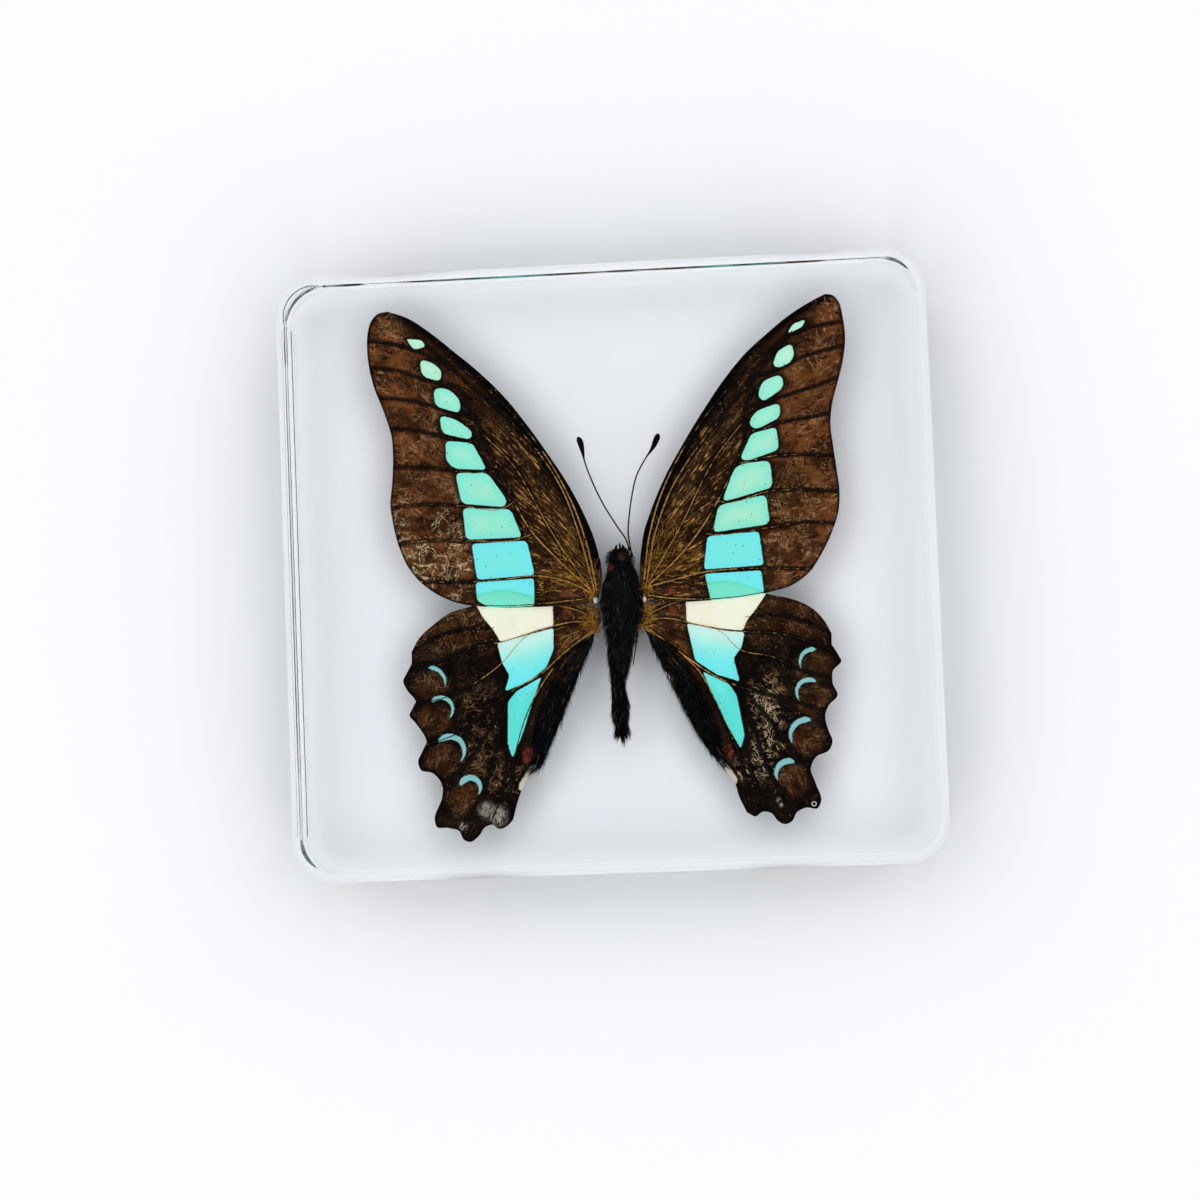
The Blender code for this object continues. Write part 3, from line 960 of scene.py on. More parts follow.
def hindwing_markings(wires, wings, spot, grain, shade, window, pane):
    """Colour of a hindwing, and the mask of its see-through places, which also get the painted glow: window,
    cream patch, crescents, pale streak and scuffs.
    """
    edge = shared_group("Marking Edge", build_marking_edge)
    depth = wires.field("cream")
    cream = wires.group(edge, Depth=depth, Spot=spot, Wobble=0.04, Softness=0.06)[0]
    mottling = wires.span(wires.noise(spot, 1.1, 3.0), 0.4, 0.7, 0.0, 0.22)
    mottled = wires.mix(mottling, wings.cream, wings.mottle)
    window = wires.mix(wires.span(depth, -4.0, 0.2, 0.0, 0.85), window, wings.whitish)
    shade = wires.mix(pane, shade, window)
    shade = wires.mix(cream, shade, mottled)
    crescent = wires.group(edge, Depth=wires.field("crescent"), Spot=spot, Wobble=0.05, Softness=0.06)[0]
    flecked = wires.mix(wires.span(grain["Grain"], 0.3, 1.0, 0.0, 0.5), wings.crescent, wings.crescent_worn)
    shade = wires.mix(wires.times(crescent, 0.95), shade, flecked)
    pale = wires.group(edge, Depth=wires.field("pale"), Spot=spot, Wobble=0.10, Softness=0.12)[0]
    shade = wires.mix(wires.times(pale, 0.9), shade, wings.streak)
    rubbed = wires.noise(wires.scaled(wires.field("flow", True), (0.9, 3.2, 1.0)), 1.0, 4.0, 0.7, 1.2)
    scuffed = wires.times(wires.field("scuff"), wires.span(rubbed, 0.40, 0.62), clamp=True)
    shade = wires.mix(wires.times(scuffed, 0.85), shade, wings.scuff)
    return shade, wires.math("MAXIMUM", pane, cream)


def wing_material(name, hind):
    """Brown-black scales with windows, patches, veins and wear, led by the fields on the wing's points; the
    windows and patches also get a painted glow.
    """
    wings = bpy.context.scene.resin_butterfly_wings
    material, wires, shader, spot = new_material(name)
    flow = wires.field("flow", True)
    grain = wires.group(shared_group("Scale Grain", build_scale_grain), Flow=flow, Spot=spot)
    shade = scale_colours(wires, wings, spot, grain)

    depth = wires.field("pane")
    shade = wires.mix(wires.span(depth, -0.75, -0.05, 0.0, 0.75), shade, wings.black)
    edge = shared_group("Marking Edge", build_marking_edge)
    pane = wires.group(edge, Depth=depth, Spot=spot, Wobble=0.035, Softness=0.05)[0]
    tint = shared_group("Window Tint", build_window_tint)
    window = wires.group(tint, Tint=wires.field("tint"), Depth=depth, Spot=spot)[0]
    if hind:
        shade, see_through_and_glow = hindwing_markings(wires, wings, spot, grain, shade, window, pane)
    else:
        window = wires.mix(wires.times(wires.field("overlap"), 0.75), window, wings.teal)
        window = wires.mix(wires.times(wires.field("crease"), 0.6), window, wings.crease)
        shade, see_through_and_glow = wires.mix(pane, shade, window), pane

    wires.join(shade, shader.inputs["Base Color"])
    # painted glow: the windows and patches give off light in their own colour, standing in for light let
    # through from behind
    wires.join(shade, shader.inputs["Emission Color"])
    wires.join(wires.times(see_through_and_glow, wings.painted_glow), shader.inputs["Emission Strength"])
    material.cycles.emission_sampling = "NONE"
    wires.join(wires.ramp(grain["Grain"], 0.0, 1.0, 0.62, 0.48), shader.inputs["Roughness"])
    shader.inputs["Specular IOR Level"].default_value = 0.012
    bump = wires.add("ShaderNodeBump")
    bump.inputs["Strength"].default_value = 0.25
    bump.inputs["Distance"].default_value = 0.00005
    wires.join(wires.math("SUBTRACT", grain["Grain"], grain["Furrow"]), bump.inputs["Height"])
    wires.join(bump.outputs[0], shader.inputs["Normal"])
    through = wires.add("ShaderNodeBsdfTranslucent")
    wires.join(shade, through.inputs["Color"])
    blend = wires.add("ShaderNodeMixShader")
    wires.join(wires.times(see_through_and_glow, 0.35), blend.inputs[0])
    wires.join(shader.outputs[0], blend.inputs[1])
    wires.join(through.outputs[0], blend.inputs[2])
    wires.join(blend.outputs[0], material.node_tree.nodes["Material Output"].inputs["Surface"])
    return material


def vein_material(name):
    """Veins gilded near the root and dark towards the margin, by the field "gilt" on their points."""
    wings = bpy.context.scene.resin_butterfly_wings
    material, wires, shader, spot = new_material(name)
    gilt = wires.around(wires.noise(spot, 1.6, 3.0, 0.6), 2.6, wires.field("gilt"))
    warm = wires.mix(wires.span(wires.noise(spot, 4.0), 0.35, 0.65), wings.gold, wings.bronze)
    shade = wires.mix(wires.span(gilt, 0.35, 0.9), wings.dark_vein, warm)
    wires.join(shade, shader.inputs["Base Color"])
    shader.inputs["Roughness"].default_value = 0.5
    shader.inputs["Specular IOR Level"].default_value = 0.05
    return material


def resin_material(name):
    """Clear cast resin: plain transmission and absorption, with barely seen drifts in its clearness."""
    resin = bpy.context.scene.resin_butterfly_block
    material, wires, shader, spot = new_material(name)
    drift = wires.span(wires.noise(spot, 0.05, 2.0), 0.4, 0.6)
    wires.join(wires.mix(drift, resin.cool, resin.clear), shader.inputs["Base Color"])
    shader.inputs["Transmission Weight"].default_value = 1.0
    shader.inputs["IOR"].default_value = resin.refraction
    shader.inputs["Roughness"].default_value = 0.0
    volume = wires.add("ShaderNodeVolumeAbsorption")
    volume.inputs["Color"].default_value = (*resin.tint, 1.0)
    volume.inputs["Density"].default_value = resin.tint_density
    wires.join(volume.outputs[0], material.node_tree.nodes["Material Output"].inputs["Volume"])
    return material


def finish_piece(piece, material):
    """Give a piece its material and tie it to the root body."""
    piece.data.materials.append(material)
    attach(piece, "root")
    return piece


# ---------------------------------------------------------------------------------------------------------
# The block

HOLD = 0.15  # how far beside each arc of the slab a further row of points stands, to keep flat faces flat


def slab_surface(length, width, height, corner, front, back, corner_steps=24, fillet_steps=16):
    """Rounded slab in millimetres. Its plan is a rectangle with quarter-circle corners, and its section a
    quarter circle at each rim, moved inwards from the plan. Each flat face is a strip of quads across."""
    turn = np.linspace(0, math.pi / 2, corner_steps + 1)
    plan, outward = [], []
    for quarter, (sx, sy) in enumerate(((1, 1), (-1, 1), (-1, -1), (1, -1))):
        angle = turn + quarter * math.pi / 2
        heading = np.stack([np.cos(angle), np.sin(angle)], 1)
        arc = np.array([sx * (length / 2 - corner), sy * (width / 2 - corner)]) + corner * heading
        first = arc[0] - HOLD * np.array([-heading[0, 1], heading[0, 0]])
        last = arc[-1] + HOLD * np.array([-heading[-1, 1], heading[-1, 0]])
        plan.append(np.vstack([first, arc, last]))
        outward.append(np.vstack([heading[:1], heading, heading[-1:]]))
    plan, outward = np.vstack(plan), np.vstack(outward)
    bend = np.linspace(0, math.pi / 2, fillet_steps + 1)
    low = np.stack([back - back * np.sin(bend), back - back * np.cos(bend)], 1)
    high = np.stack([front - front * np.cos(bend), height - front + front * np.sin(bend)], 1)
    section = np.vstack([
        [[back + HOLD, 0.0]], low, [[0.0, back + HOLD]], [[0.0, height - front - HOLD]], high,
        [[front + HOLD, height]],
    ])
    rows, count = len(section), len(plan)
    levels = np.broadcast_to(section[:, 1][:, None, None], (rows, count, 1))
    rings = np.concatenate([plan[None] - section[:, :1, None] * outward[None], levels], 2)
    faces = [grid_faces(rows, count, wrap=True)]
    for row, flip in ((0, True), (rows - 1, False)):
        index = np.arange(count) + row * count
        near, far = index[:count // 2], index[:count // 2 - 1:-1]
        lid = np.stack([near[:-1], near[1:], far[1:], far[:-1]], 1)
        faces.append(lid[:, ::-1] if flip else lid)
    return rings.reshape(-1, 3), faces


class RESIN_OT_block(bpy.types.Operator):
    """Cast the clear block"""

    bl_idname = "resin.block"
    bl_label = "Clear block"

    def execute(self, context):
        resin = context.scene.resin_butterfly_block
        size = (np.array(BLOCK_HIGH) - np.array(BLOCK_LOW)) / MM
        points, faces = slab_surface(
            *size, resin.corner_radius / MM, resin.front_fillet / MM, resin.back_fillet / MM
        )
        middle = (np.array(BLOCK_HIGH) + np.array(BLOCK_LOW)) / 2 / MM
        points = points + np.array([middle[0], middle[1], BLOCK_LOW[2] / MM])
        slab = put_mesh("resin_slab", points, faces)
        finish_piece(slab, resin_material("Clear resin"))
        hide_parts("resin_block")
        return {"FINISHED"}


# ---------------------------------------------------------------------------------------------------------
# The wings

FOREWING_GRID = (170, 170)  # rows outwards and columns back, of each wing's mesh
HINDWING_GRID = (150, 190)
COARSE_GRID = (44, 40)  # the same, where only a wing's height is wanted
BORDER_STEPS = 90
FOREWING_RISE, FOREWING_WAVE, REAR_DROOP = 0.35, 0.10, 0.18  # millimetres
HINDWING_RISE, HINDWING_WAVE, FOLD_CURL = 0.15, 0.10, 0.55
VEIN_STEPS, VEIN_SIDES = 30, 8
VEIN_SHARE, VEIN_FLATNESS, VEIN_LIFT = 0.60, 0.7, 0.03


def deepest(spot, shapes):
    """Greatest depth over several closed outlines, and which of them gives it."""
    depth, which = np.full(spot.shape[:-1], -1e9), np.zeros(spot.shape[:-1], int)
    for number, (corners, radius) in enumerate(shapes):
        here = depth_in_outline(spot, rounded_outline(corners, radius))
        better = here > depth
        depth, which = np.where(better, here, depth), np.where(better, number, which)
    return depth, which


def way_from(spot, place):
    """Distance in the plan from a place."""
    return np.linalg.norm(spot - np.array(place), axis=-1)


def wing_sheet(shape, rows, columns):
    """Plan of a wing: a Coons patch whose u runs outwards from the root and v back from the costa. u and v
    come back as well."""
    u, v = np.meshgrid(np.linspace(0, 1, rows), np.linspace(0, 1, columns), indexing="ij")
    plan = coons_patch(
        curve_through(shape["costa"], rows), curve_through(shape["dorsum"], rows),
        curve_through(shape["root"], columns), curve_through(shape["margin"], columns),
    )
    return plan, u, v


def forewing_lift(u, v):
    """Height of the forewing: rises a little outwards, with a slow wave along it and a drooping rear edge."""
    height = bpy.context.scene.resin_butterfly_wings.forewing_height / MM
    return height + FOREWING_RISE * u - FOREWING_WAVE * np.sin(u * 5.0 + v * 2.0) * u - REAR_DROOP * v**3


def hindwing_lift(u, v):
    """Height of the hindwing: a slow wave, rising a little outwards along the front."""
    height = bpy.context.scene.resin_butterfly_wings.hindwing_height / MM
    return height + HINDWING_WAVE * np.sin(u * 4.0 + 1.0) * u + HINDWING_RISE * u * (1 - v)


def sheet_height(side, kind, spot):
    """Height of a wing's middle surface over places in the plan: the mean of the three nearest points of a
    coarse grid, each weighted by one over its squared distance."""
    shapes, lift = (FOREWINGS, forewing_lift) if kind == "fore" else (HINDWINGS, hindwing_lift)
    plan, u, v = wing_sheet(shapes[side], *COARSE_GRID)
    away = ((spot[:, None] - plan.reshape(1, -1, 2)) ** 2).sum(-1)
    close = np.argpartition(away, 3, axis=1)[:, :3]
    weight = 1 / (np.take_along_axis(away, close, 1) + 1e-4)
    return (lift(u, v).ravel()[close] * weight).sum(1) / weight.sum(1)


# The fields that lead the wing materials. Distances are in millimetres, positive inside a marking; the rest
# run from 0 to 1:
#   pane, cream, crescent, pale, rust: distance into a window, the cream patch, a crescent, the pale streak
#       and a rust spot;  vein, border: distance from the nearest vein and from the outer margin
#   tint: which window colour;  tone: from black to brown scales;  gilt: gold streaks;  wear: worn lines
#   fleck: specks;  scuff: scuffed places;  overlap, crease: where the hindwing shows behind the window
#   flow: the way along and across the wing


def shared_fields(plan, u, v, shape, veins, rust_spots):
    """Fields that both kinds of wing have in one way: veins, outer margin, rust spots and the flow."""
    vein = np.min([distance_to_path(plan, curve_through(row[0], 26))[0] for row in veins], 0)
    return {
        "vein": vein,
        "border": distance_to_path(plan, curve_through(shape["margin"], BORDER_STEPS))[0],
        "rust": np.max([depth_in_ellipse(plan, *spot) for spot in rust_spots], 0),
        "flow": np.stack([u * 38.0, v * 22.0, np.full(u.shape, plan[..., 0].mean())], -1),
    }


def build_forewing(side):
    """One forewing: plan, height and fields. Outside the row of windows the scales are brown and worn;
    inside it they are darker, with gold streaks that fade away from the root; the costa is black."""
    shape = FOREWINGS[side]
    plan, u, v = wing_sheet(shape, *FOREWING_GRID)
    y = plan[..., 1]
    pane, which = deepest(plan, [(corners, radius) for corners, radius, _ in WINDOWS[side]])
    tint = np.array([shade for _, _, shade in WINDOWS[side]])[which]

    middles = np.array([np.mean(corners, 0) for corners, _, _ in WINDOWS[side]])
    before, after = middles[0] + (middles[0] - middles[1]) * 4, middles[-1] * 2 - middles[-2]
    line = np.vstack([before, middles, after])
    _, where = distance_to_path(plan, line)
    nearest = np.stack([np.interp(where, np.linspace(0, 1, len(line)), line[:, k]) for k in (0, 1)], -1)
    away = plan - nearest
    outer = step(SIGNS[side] * away[..., 0] + 0.35 * away[..., 1], -0.4, 1.6)
    inner = 1 - outer

    costa = distance_to_path(plan, curve_through(shape["costa"], BORDER_STEPS))[0]
    root = way_from(plan, shape["root"][1])
    tipward = step(y, 18.0, 23.0)
    tone = 0.20 + 0.58 * outer + 0.30 * tipward * inner + 0.20 * step(root, 20.0, 5.0) * inner
    tone *= step(costa, 0.95 - 0.45 * tipward, 2.2 - 1.1 * tipward)
    gilt = inner * step(costa, 0.8, 1.6) * (0.55 + 0.45 * step(root, 24.0, 5.0)) * step(root, 26.0, 18.0)
    low = step(y, 13.0, 4.0) * (1.0 if side == "left" else 0.45)
    wear = outer * (0.42 + 0.58 * low) + 0.12 * inner * step(costa, 1.0, 2.0)
    fleck = 0.25 + 0.55 * outer * low + 0.35 * inner * step(root, 30.0, 20.0) * step(costa, 0.8, 1.6)
    behind = y - (-3.0 + 0.9 * np.sin((np.abs(plan[..., 0]) - 9.0) * 0.42))
    rearmost = which == len(WINDOWS[side]) - 1
    fields = shared_fields(plan, u, v, shape, FOREWING_VEINS[side], FOREWING_RUST[side])
    fields.update(
        pane=pane, tint=tint, tone=np.clip(tone, 0, 1), gilt=np.clip(gilt, 0, 1), wear=np.clip(wear, 0, 1),
        fleck=np.clip(fleck, 0, 1), overlap=step(behind, 0.1, -0.25) * rearmost,
        crease=np.exp(-((behind + 0.12) / 0.16) ** 2) * rearmost,
    )
    return np.dstack([plan, forewing_lift(u, v)]), fields


def build_hindwing(side):
    """One hindwing: plan, height and fields. The scales are brown near the root, along the front and behind
    each crescent, black in the fold, and worn between the windows and the crescents."""
    shape, patches = HINDWINGS[side], PATCHES[side]
    plan, u, v = wing_sheet(shape, *HINDWING_GRID)
    y = plan[..., 1]
    pane, _ = deepest(plan, [patches["window"], patches["spike"]])
    cream, _ = deepest(plan, [patches["cream"]])
    tint = 0.66 + 0.30 * step(y, -7.0, -12.0) + 0.32 * step(y, -12.5, -16.0)

    crescents, lobes = [], np.zeros(u.shape)
    for start, crown, end, half in CRESCENTS[side]:
        away, where = distance_to_path(plan, arc_through(start, crown, end, 24))
        crescents.append(half * np.interp(where, *CRESCENT_TAPER) - away)
        middle = (np.array(start) + np.array(end)) / 2 + np.array([SIGNS[side] * 0.7, -1.0])
        lobe = np.linalg.norm((plan - middle) * np.array([0.9, 1.0]), axis=-1)
        lobes = np.maximum(lobes, step(lobe, 2.3, 1.3))

    inner, along = distance_to_path(plan, curve_through(shape["dorsum"], BORDER_STEPS))
    width = np.interp(along, np.linspace(0, 1, len(FOLD_WIDTHS)), FOLD_WIDTHS)
    in_folds = inner / np.maximum(width, 0.05)
    fold = step(in_folds, 1.12, 0.88)
    basal = step(way_from(plan, shape["root"][1]), 10.0, 6.0)
    upper = step(y, -10.5, -7.5)
    tone = 0.05 + 0.36 * lobes + 0.34 * upper * (1 - basal) + 0.36 * basal
    tone += 0.20 * step(in_folds, 2.2, 1.2) * step(y, -22.0, -20.0)
    tone *= 1 - 0.97 * fold
    marked = np.maximum(pane, cream)
    middle_field = step(marked, -0.7, -1.6) * step(marked, -6.0, -4.0)
    rubbed = middle_field * step(y, -12.0, -15.0) * step(y, -26.5, -24.0) * step(in_folds, 1.7, 2.7)
    wear = (0.05 + 0.20 * lobes + 0.25 * upper + 0.20 * basal) * (1 - fold)
    wear += rubbed * (0.90 if side == "right" else 0.30)
    fleck = (0.20 + 0.80 * middle_field * step(y, -12.0, -16.0) + 0.25 * upper) * (1 - fold)
    pale = 0.36 - distance_to_path(plan, curve_through(PALE_STREAKS[side], 12))[0]
    scuff = np.max([step(way_from(plan, centre), size * 1.6, size * 0.3) for centre, size in SCUFFS[side]], 0)
    fields = shared_fields(plan, u, v, shape, HINDWING_VEINS[side], HINDWING_RUST[side])
    fields.update(
        pane=pane, cream=cream, tint=tint, tone=np.clip(tone, 0, 1), gilt=0.35 * basal,
        wear=np.clip(wear, 0, 1), fleck=np.clip(fleck, 0, 1), crescent=np.max(crescents, 0), pale=pale,
        scuff=scuff,
    )
    return np.dstack([plan, hindwing_lift(u, v) + FOLD_CURL * fold * step(width, 0.5, 2.0)]), fields


def place_wing(name, sheet, fields, material):
    """Closed thin sheet with its fields on both sides."""
    thickness = bpy.context.scene.resin_butterfly_wings.thickness / MM
    points, faces = closed_sheet(sheet, thickness)
    doubled = {}
    for key, values in fields.items():
        flat = values.reshape(-1, 3) if values.ndim == 3 else values.ravel()
        doubled[key] = np.concatenate([flat, flat])
    finish_piece(put_mesh(name, points, faces, doubled), material)


class RESIN_OT_wings(bpy.types.Operator):
    """Spread the four wings"""

    bl_idname = "resin.wings"
    bl_label = "Wings"

    def execute(self, context):
        fore, hind = wing_material("Forewing scales", False), wing_material("Hindwing scales", True)
        for side in SIGNS:
            place_wing(f"forewing_{side}", *build_forewing(side), fore)
            place_wing(f"hindwing_{side}", *build_hindwing(side), hind)
        return {"FINISHED"}


def vein_tube(side, kind, points, thick, thin, gild_in, gild_out):
    """One vein: a flattened tube that thins outwards along the wing, with its gilding on its points."""
    plan = curve_through(points, VEIN_STEPS)
    along = np.linspace(0, 1, VEIN_STEPS)
    path = np.column_stack([plan, sheet_height(side, kind, plan) + VEIN_LIFT])
    radius = (thick + (thin - thick) * along) * VEIN_SHARE
    gild = gild_in + (gild_out - gild_in) * step(along, 0.25, 0.75)
    gild = np.r_[np.repeat(gild, VEIN_SIDES), gild_in, gild_out]
    return (*tube(path, radius, VEIN_SIDES, VEIN_FLATNESS), {"gilt": gild})


class RESIN_OT_veins(bpy.types.Operator):
    """Run the veins over the wings"""

    bl_idname = "resin.veins"
    bl_label = "Veins"

    def execute(self, context):
        material = vein_material("Gilded veins")
        for kind, sets in (("fore", FOREWING_VEINS), ("hind", HINDWING_VEINS)):
            for side, veins in sets.items():
                mesh = joined([vein_tube(side, kind, *vein) for vein in veins])
                finish_piece(put_mesh(f"{kind}wing_{side}_veins", *mesh), material)
        return {"FINISHED"}


# ---------------------------------------------------------------------------------------------------------
# The body


# Middle line (x, y) and half width and half height, in millimetres, from the head's end to the tail's end
THORAX = [
    (1.45, 0.60, 0.55, 0.60), (1.42, -0.10, 1.35, 1.40), (1.42, -1.3, 1.85, 1.85), (1.40, -2.6, 2.20, 2.10),
    (1.38, -4.3, 2.30, 2.20), (1.28, -5.8, 2.05, 2.05), (1.18, -7.1, 1.70, 1.80), (1.10, -8.3, 1.35, 1.50),
    (1.00, -9.2, 0.90, 1.00),
]
HEAD = [
    (1.15, 2.05, 0.20, 0.25), (1.18, 1.85, 0.72, 0.75), (1.22, 1.35, 1.15, 1.15), (1.28, 0.7, 1.32, 1.30),
    (1.34, 0.0, 1.20, 1.25), (1.40, -0.5, 0.75, 0.80),
]
ABDOMEN = [
    (0.98, -8.3, 1.05, 1.10), (0.92, -9.3, 1.38, 1.35), (0.82, -10.6, 1.22, 1.28), (0.68, -11.8, 0.98, 1.15),
    (0.56, -13.5, 0.72, 0.98), (0.60, -14.6, 0.80, 1.00), (0.70, -15.7, 0.98, 1.08),
    (0.68, -16.7, 0.92, 1.02), (0.68, -17.7, 0.74, 0.84), (0.72, -18.4, 0.50, 0.58),
    (0.76, -18.9, 0.20, 0.24),
]
ANTENNAE = {
    "left": [
        (2.45, 1.9, 5.9), (2.2, 2.9, 6.1), (1.1, 4.75, 6.1), (-0.4, 7.4, 6.0), (-1.65, 10.3, 5.9),
        (-2.35, 12.5, 5.8), (-2.5, 13.4, 5.8), (-2.75, 14.6, 5.8), (-2.95, 15.15, 5.8),
    ],
    "right": [
        (2.75, 1.2, 5.9), (2.55, 2.4, 6.1), (2.4, 3.8, 6.2), (2.6, 5.9, 6.1), (3.0, 8.2, 6.0),
        (3.6, 10.4, 5.9), (4.8, 12.5, 5.8), (5.6, 13.6, 5.8), (6.05, 14.5, 5.8), (6.3, 15.1, 5.8),
    ],
}
EYES = {"left": ((0.42, -0.20, 5.75), 0.66), "right": ((1.45, 1.05, 5.95), 0.62)}
# Folded legs: hip, knee, ankle, toe for one side, as (sideways, y, height); the other side mirrors them
LEGS = {
    "front": [(0.5, -1.2, 3.7), (1.35, 0.1, 2.9), (1.0, -2.6, 2.3), (0.75, -4.4, 2.2)],
    "middle": [(0.6, -3.3, 3.4), (1.85, -2.0, 2.6), (1.5, -5.4, 2.1), (1.15, -8.0, 2.2)],
    "hind": [(0.6, -5.2, 3.5), (1.75, -4.6, 2.7), (1.35, -8.6, 2.4), (0.85, -11.4, 2.7)],
}
BODY_X = 1.4
# Palps: sideways, y and height, from the root to the tip, about their own middle
PALP = [(0.35, 1.2, 4.5), (0.45, 2.1, 4.9), (0.35, 2.5, 5.4)]
PALP_X = 1.3
# How many points the middle lines have
ANTENNA_STEPS, TONGUE_STEPS, PALP_STEPS, LIMB_STEPS = 190, 130, 24, 16
# How far each lock of hair at the tail's end leans sideways
TAIL_LOCKS = (-0.34, 0.06, 0.44)
# Tufts of gold hair at the wing roots: place and spread
GOLD_TUFTS = {
    "left": [
        ((-2.2, -6.5, 5.6), 0.42), ((-1.7, -7.1, 5.5), 0.30), ((-2.6, -5.9, 5.7), 0.35),
        ((-2.0, -5.1, 6.0), 0.25), ((-1.9, -3.0, 6.2), 0.30),
    ],
    "right": [
        ((3.9, -6.6, 5.6), 0.42), ((3.4, -7.1, 5.5), 0.30), ((4.4, -5.8, 5.7), 0.35),
        ((4.1, -5.0, 6.0), 0.25), ((4.4, -2.6, 6.2), 0.30),
    ],
}


def body_rows(rows, count):
    """Middle line in space, half widths and half heights of a body part, as smooth curves."""
    body = bpy.context.scene.resin_butterfly_body
    read = curve_through(rows, count)
    path = np.column_stack([read[:, :2], np.full(count, body.height / MM)])
    return path, read[:, 2], read[:, 3]


def scatter(rings, path, count, rng):
    """Random places on a lathe's rings, with the outward and the backward direction at each."""
    rows, sides = rings.shape[:2]
    row, around = rng.random(count) * (rows - 1.001), rng.random(count) * sides
    r, s = row.astype(int), around.astype(int) % sides
    fr, fs, t = (row - r)[:, None], (around % 1.0)[:, None], (s + 1) % sides
    near = (1 - fs) * rings[r, s] + fs * rings[r, t]
    far = (1 - fs) * rings[r + 1, s] + fs * rings[r + 1, t]
    place = (1 - fr) * near + fr * far
    middle = (1 - fr) * path[r] + fr * path[r + 1]
    back = unit(path[r + 1] - path[r])
    out = place - middle
    return place, unit(out - (out * back).sum(1)[:, None] * back), back


def chitin_material(name, dark, light):
    """Dark insect shell, mottled, with a satin shine."""
    material, wires, shader, spot = new_material(name)
    cloud = wires.span(wires.noise(spot, 2.2, 4.0, 0.6), 0.4, 0.65)
    wires.join(wires.mix(cloud, dark, light), shader.inputs["Base Color"])
    wires.join(wires.ramp(cloud, 0.0, 1.0, 0.42, 0.57), shader.inputs["Roughness"])
    shader.inputs["Specular IOR Level"].default_value = 0.02
    return material


def eye_material(name):
    """Compound eye: red-brown, with fine facets."""
    body = bpy.context.scene.resin_butterfly_body
    material, wires, shader, spot = new_material(name)
    inside, _ = wires.cells(spot, 11.0, "DISTANCE_TO_EDGE")
    cloud = wires.span(wires.noise(spot, 1.4, 2.0), 0.4, 0.65)
    shade = wires.mix(cloud, body.eye * 0.35, body.eye)
    wires.join(wires.mix(wires.span(inside, 0.0, 0.12), body.eye_gap, shade), shader.inputs["Base Color"])
    shader.inputs["Roughness"].default_value = 0.25
    shader.inputs["Specular IOR Level"].default_value = 0.10
    return material


def hair_material(name, dark, light, gloss):
    """Hairs between two colours, by the field "shade" on their points and their way along. On the body hair
    the paler colour is a painted glint; on the gold tufts it is the hairs' own gold.
    """
    material, wires, shader, spot = new_material(name)
    shade = wires.math("MULTIPLY_ADD", wires.field("along"), 0.02, wires.field("shade"))
    cloud = wires.span(wires.noise(spot, 0.9, 2.0), 0.4, 0.6, -0.10, 0.01)
    wires.join(
        wires.mix(wires.math("ADD", shade, cloud, clamp=True), dark, light), shader.inputs["Base Color"]
    )
    shader.inputs["Roughness"].default_value = gloss
    shader.inputs["Specular IOR Level"].default_value = 0.015
    return material


def shades_with_painted_glints(rng, count, share):
    """Shades of dark hairs, most of them near 0, with a share of brighter ones that are painted glints."""
    return np.clip(rng.normal(0.0, 0.05, count), 0, 1) + (rng.random(count) < share) * rng.random(count)


def fold_hairs(side, rng):
    """Hairs of a hindwing's fold: long ones lying along it towards the tail, and a fringe past its edge."""
    edge = curve_through(HINDWINGS[side]["dorsum"], 200)
    ahead = unit(np.gradient(edge, axis=0))
    inward = ahead[:, ::-1] * np.array([1.0, -1.0]) * SIGNS[side]
    count, fringes = 1700, 420
    along = rng.random(count) * 0.73 + 0.02
    at = (along * 199).astype(int)
    width = np.interp(along, np.linspace(0, 1, len(FOLD_WIDTHS)), FOLD_WIDTHS)
    across = rng.random(count) ** 1.1 * width * 0.92
    fringe = np.arange(count) < fringes
    across[fringe] = rng.random(fringes) * 0.12
    plan = edge[at] - inward[at] * across[:, None]
    level = sheet_height(side, "hind", plan) + FOLD_CURL + 0.06
    level[fringe] -= 0.1 + 0.25 * rng.random(fringes)
    roots = np.column_stack([plan, level])
    spread = np.where(fringe, rng.uniform(0.12, 0.50, count), rng.normal(0.0, 0.10, count))
    heading = np.column_stack([ahead[at] + inward[at] * spread[:, None], rng.normal(0.02, 0.06, count)])
    length = np.where(fringe, rng.uniform(0.6, 1.7, count), rng.uniform(0.7, 1.6, count))
    length *= np.interp(along, [0, 0.08, 0.7, 0.82], [0.5, 1.0, 1.0, 0.5])
    sway = rng.normal(0.0, 0.10, count)[:, None]
    bend = np.column_stack([inward[at] * sway, rng.normal(-0.02, 0.03, count)])
    # a few of the fold hairs get the painted glint
    return strands(roots, unit(heading), length, np.full(count, 0.020), bend, shades_with_painted_glints(rng, count, 0.02))


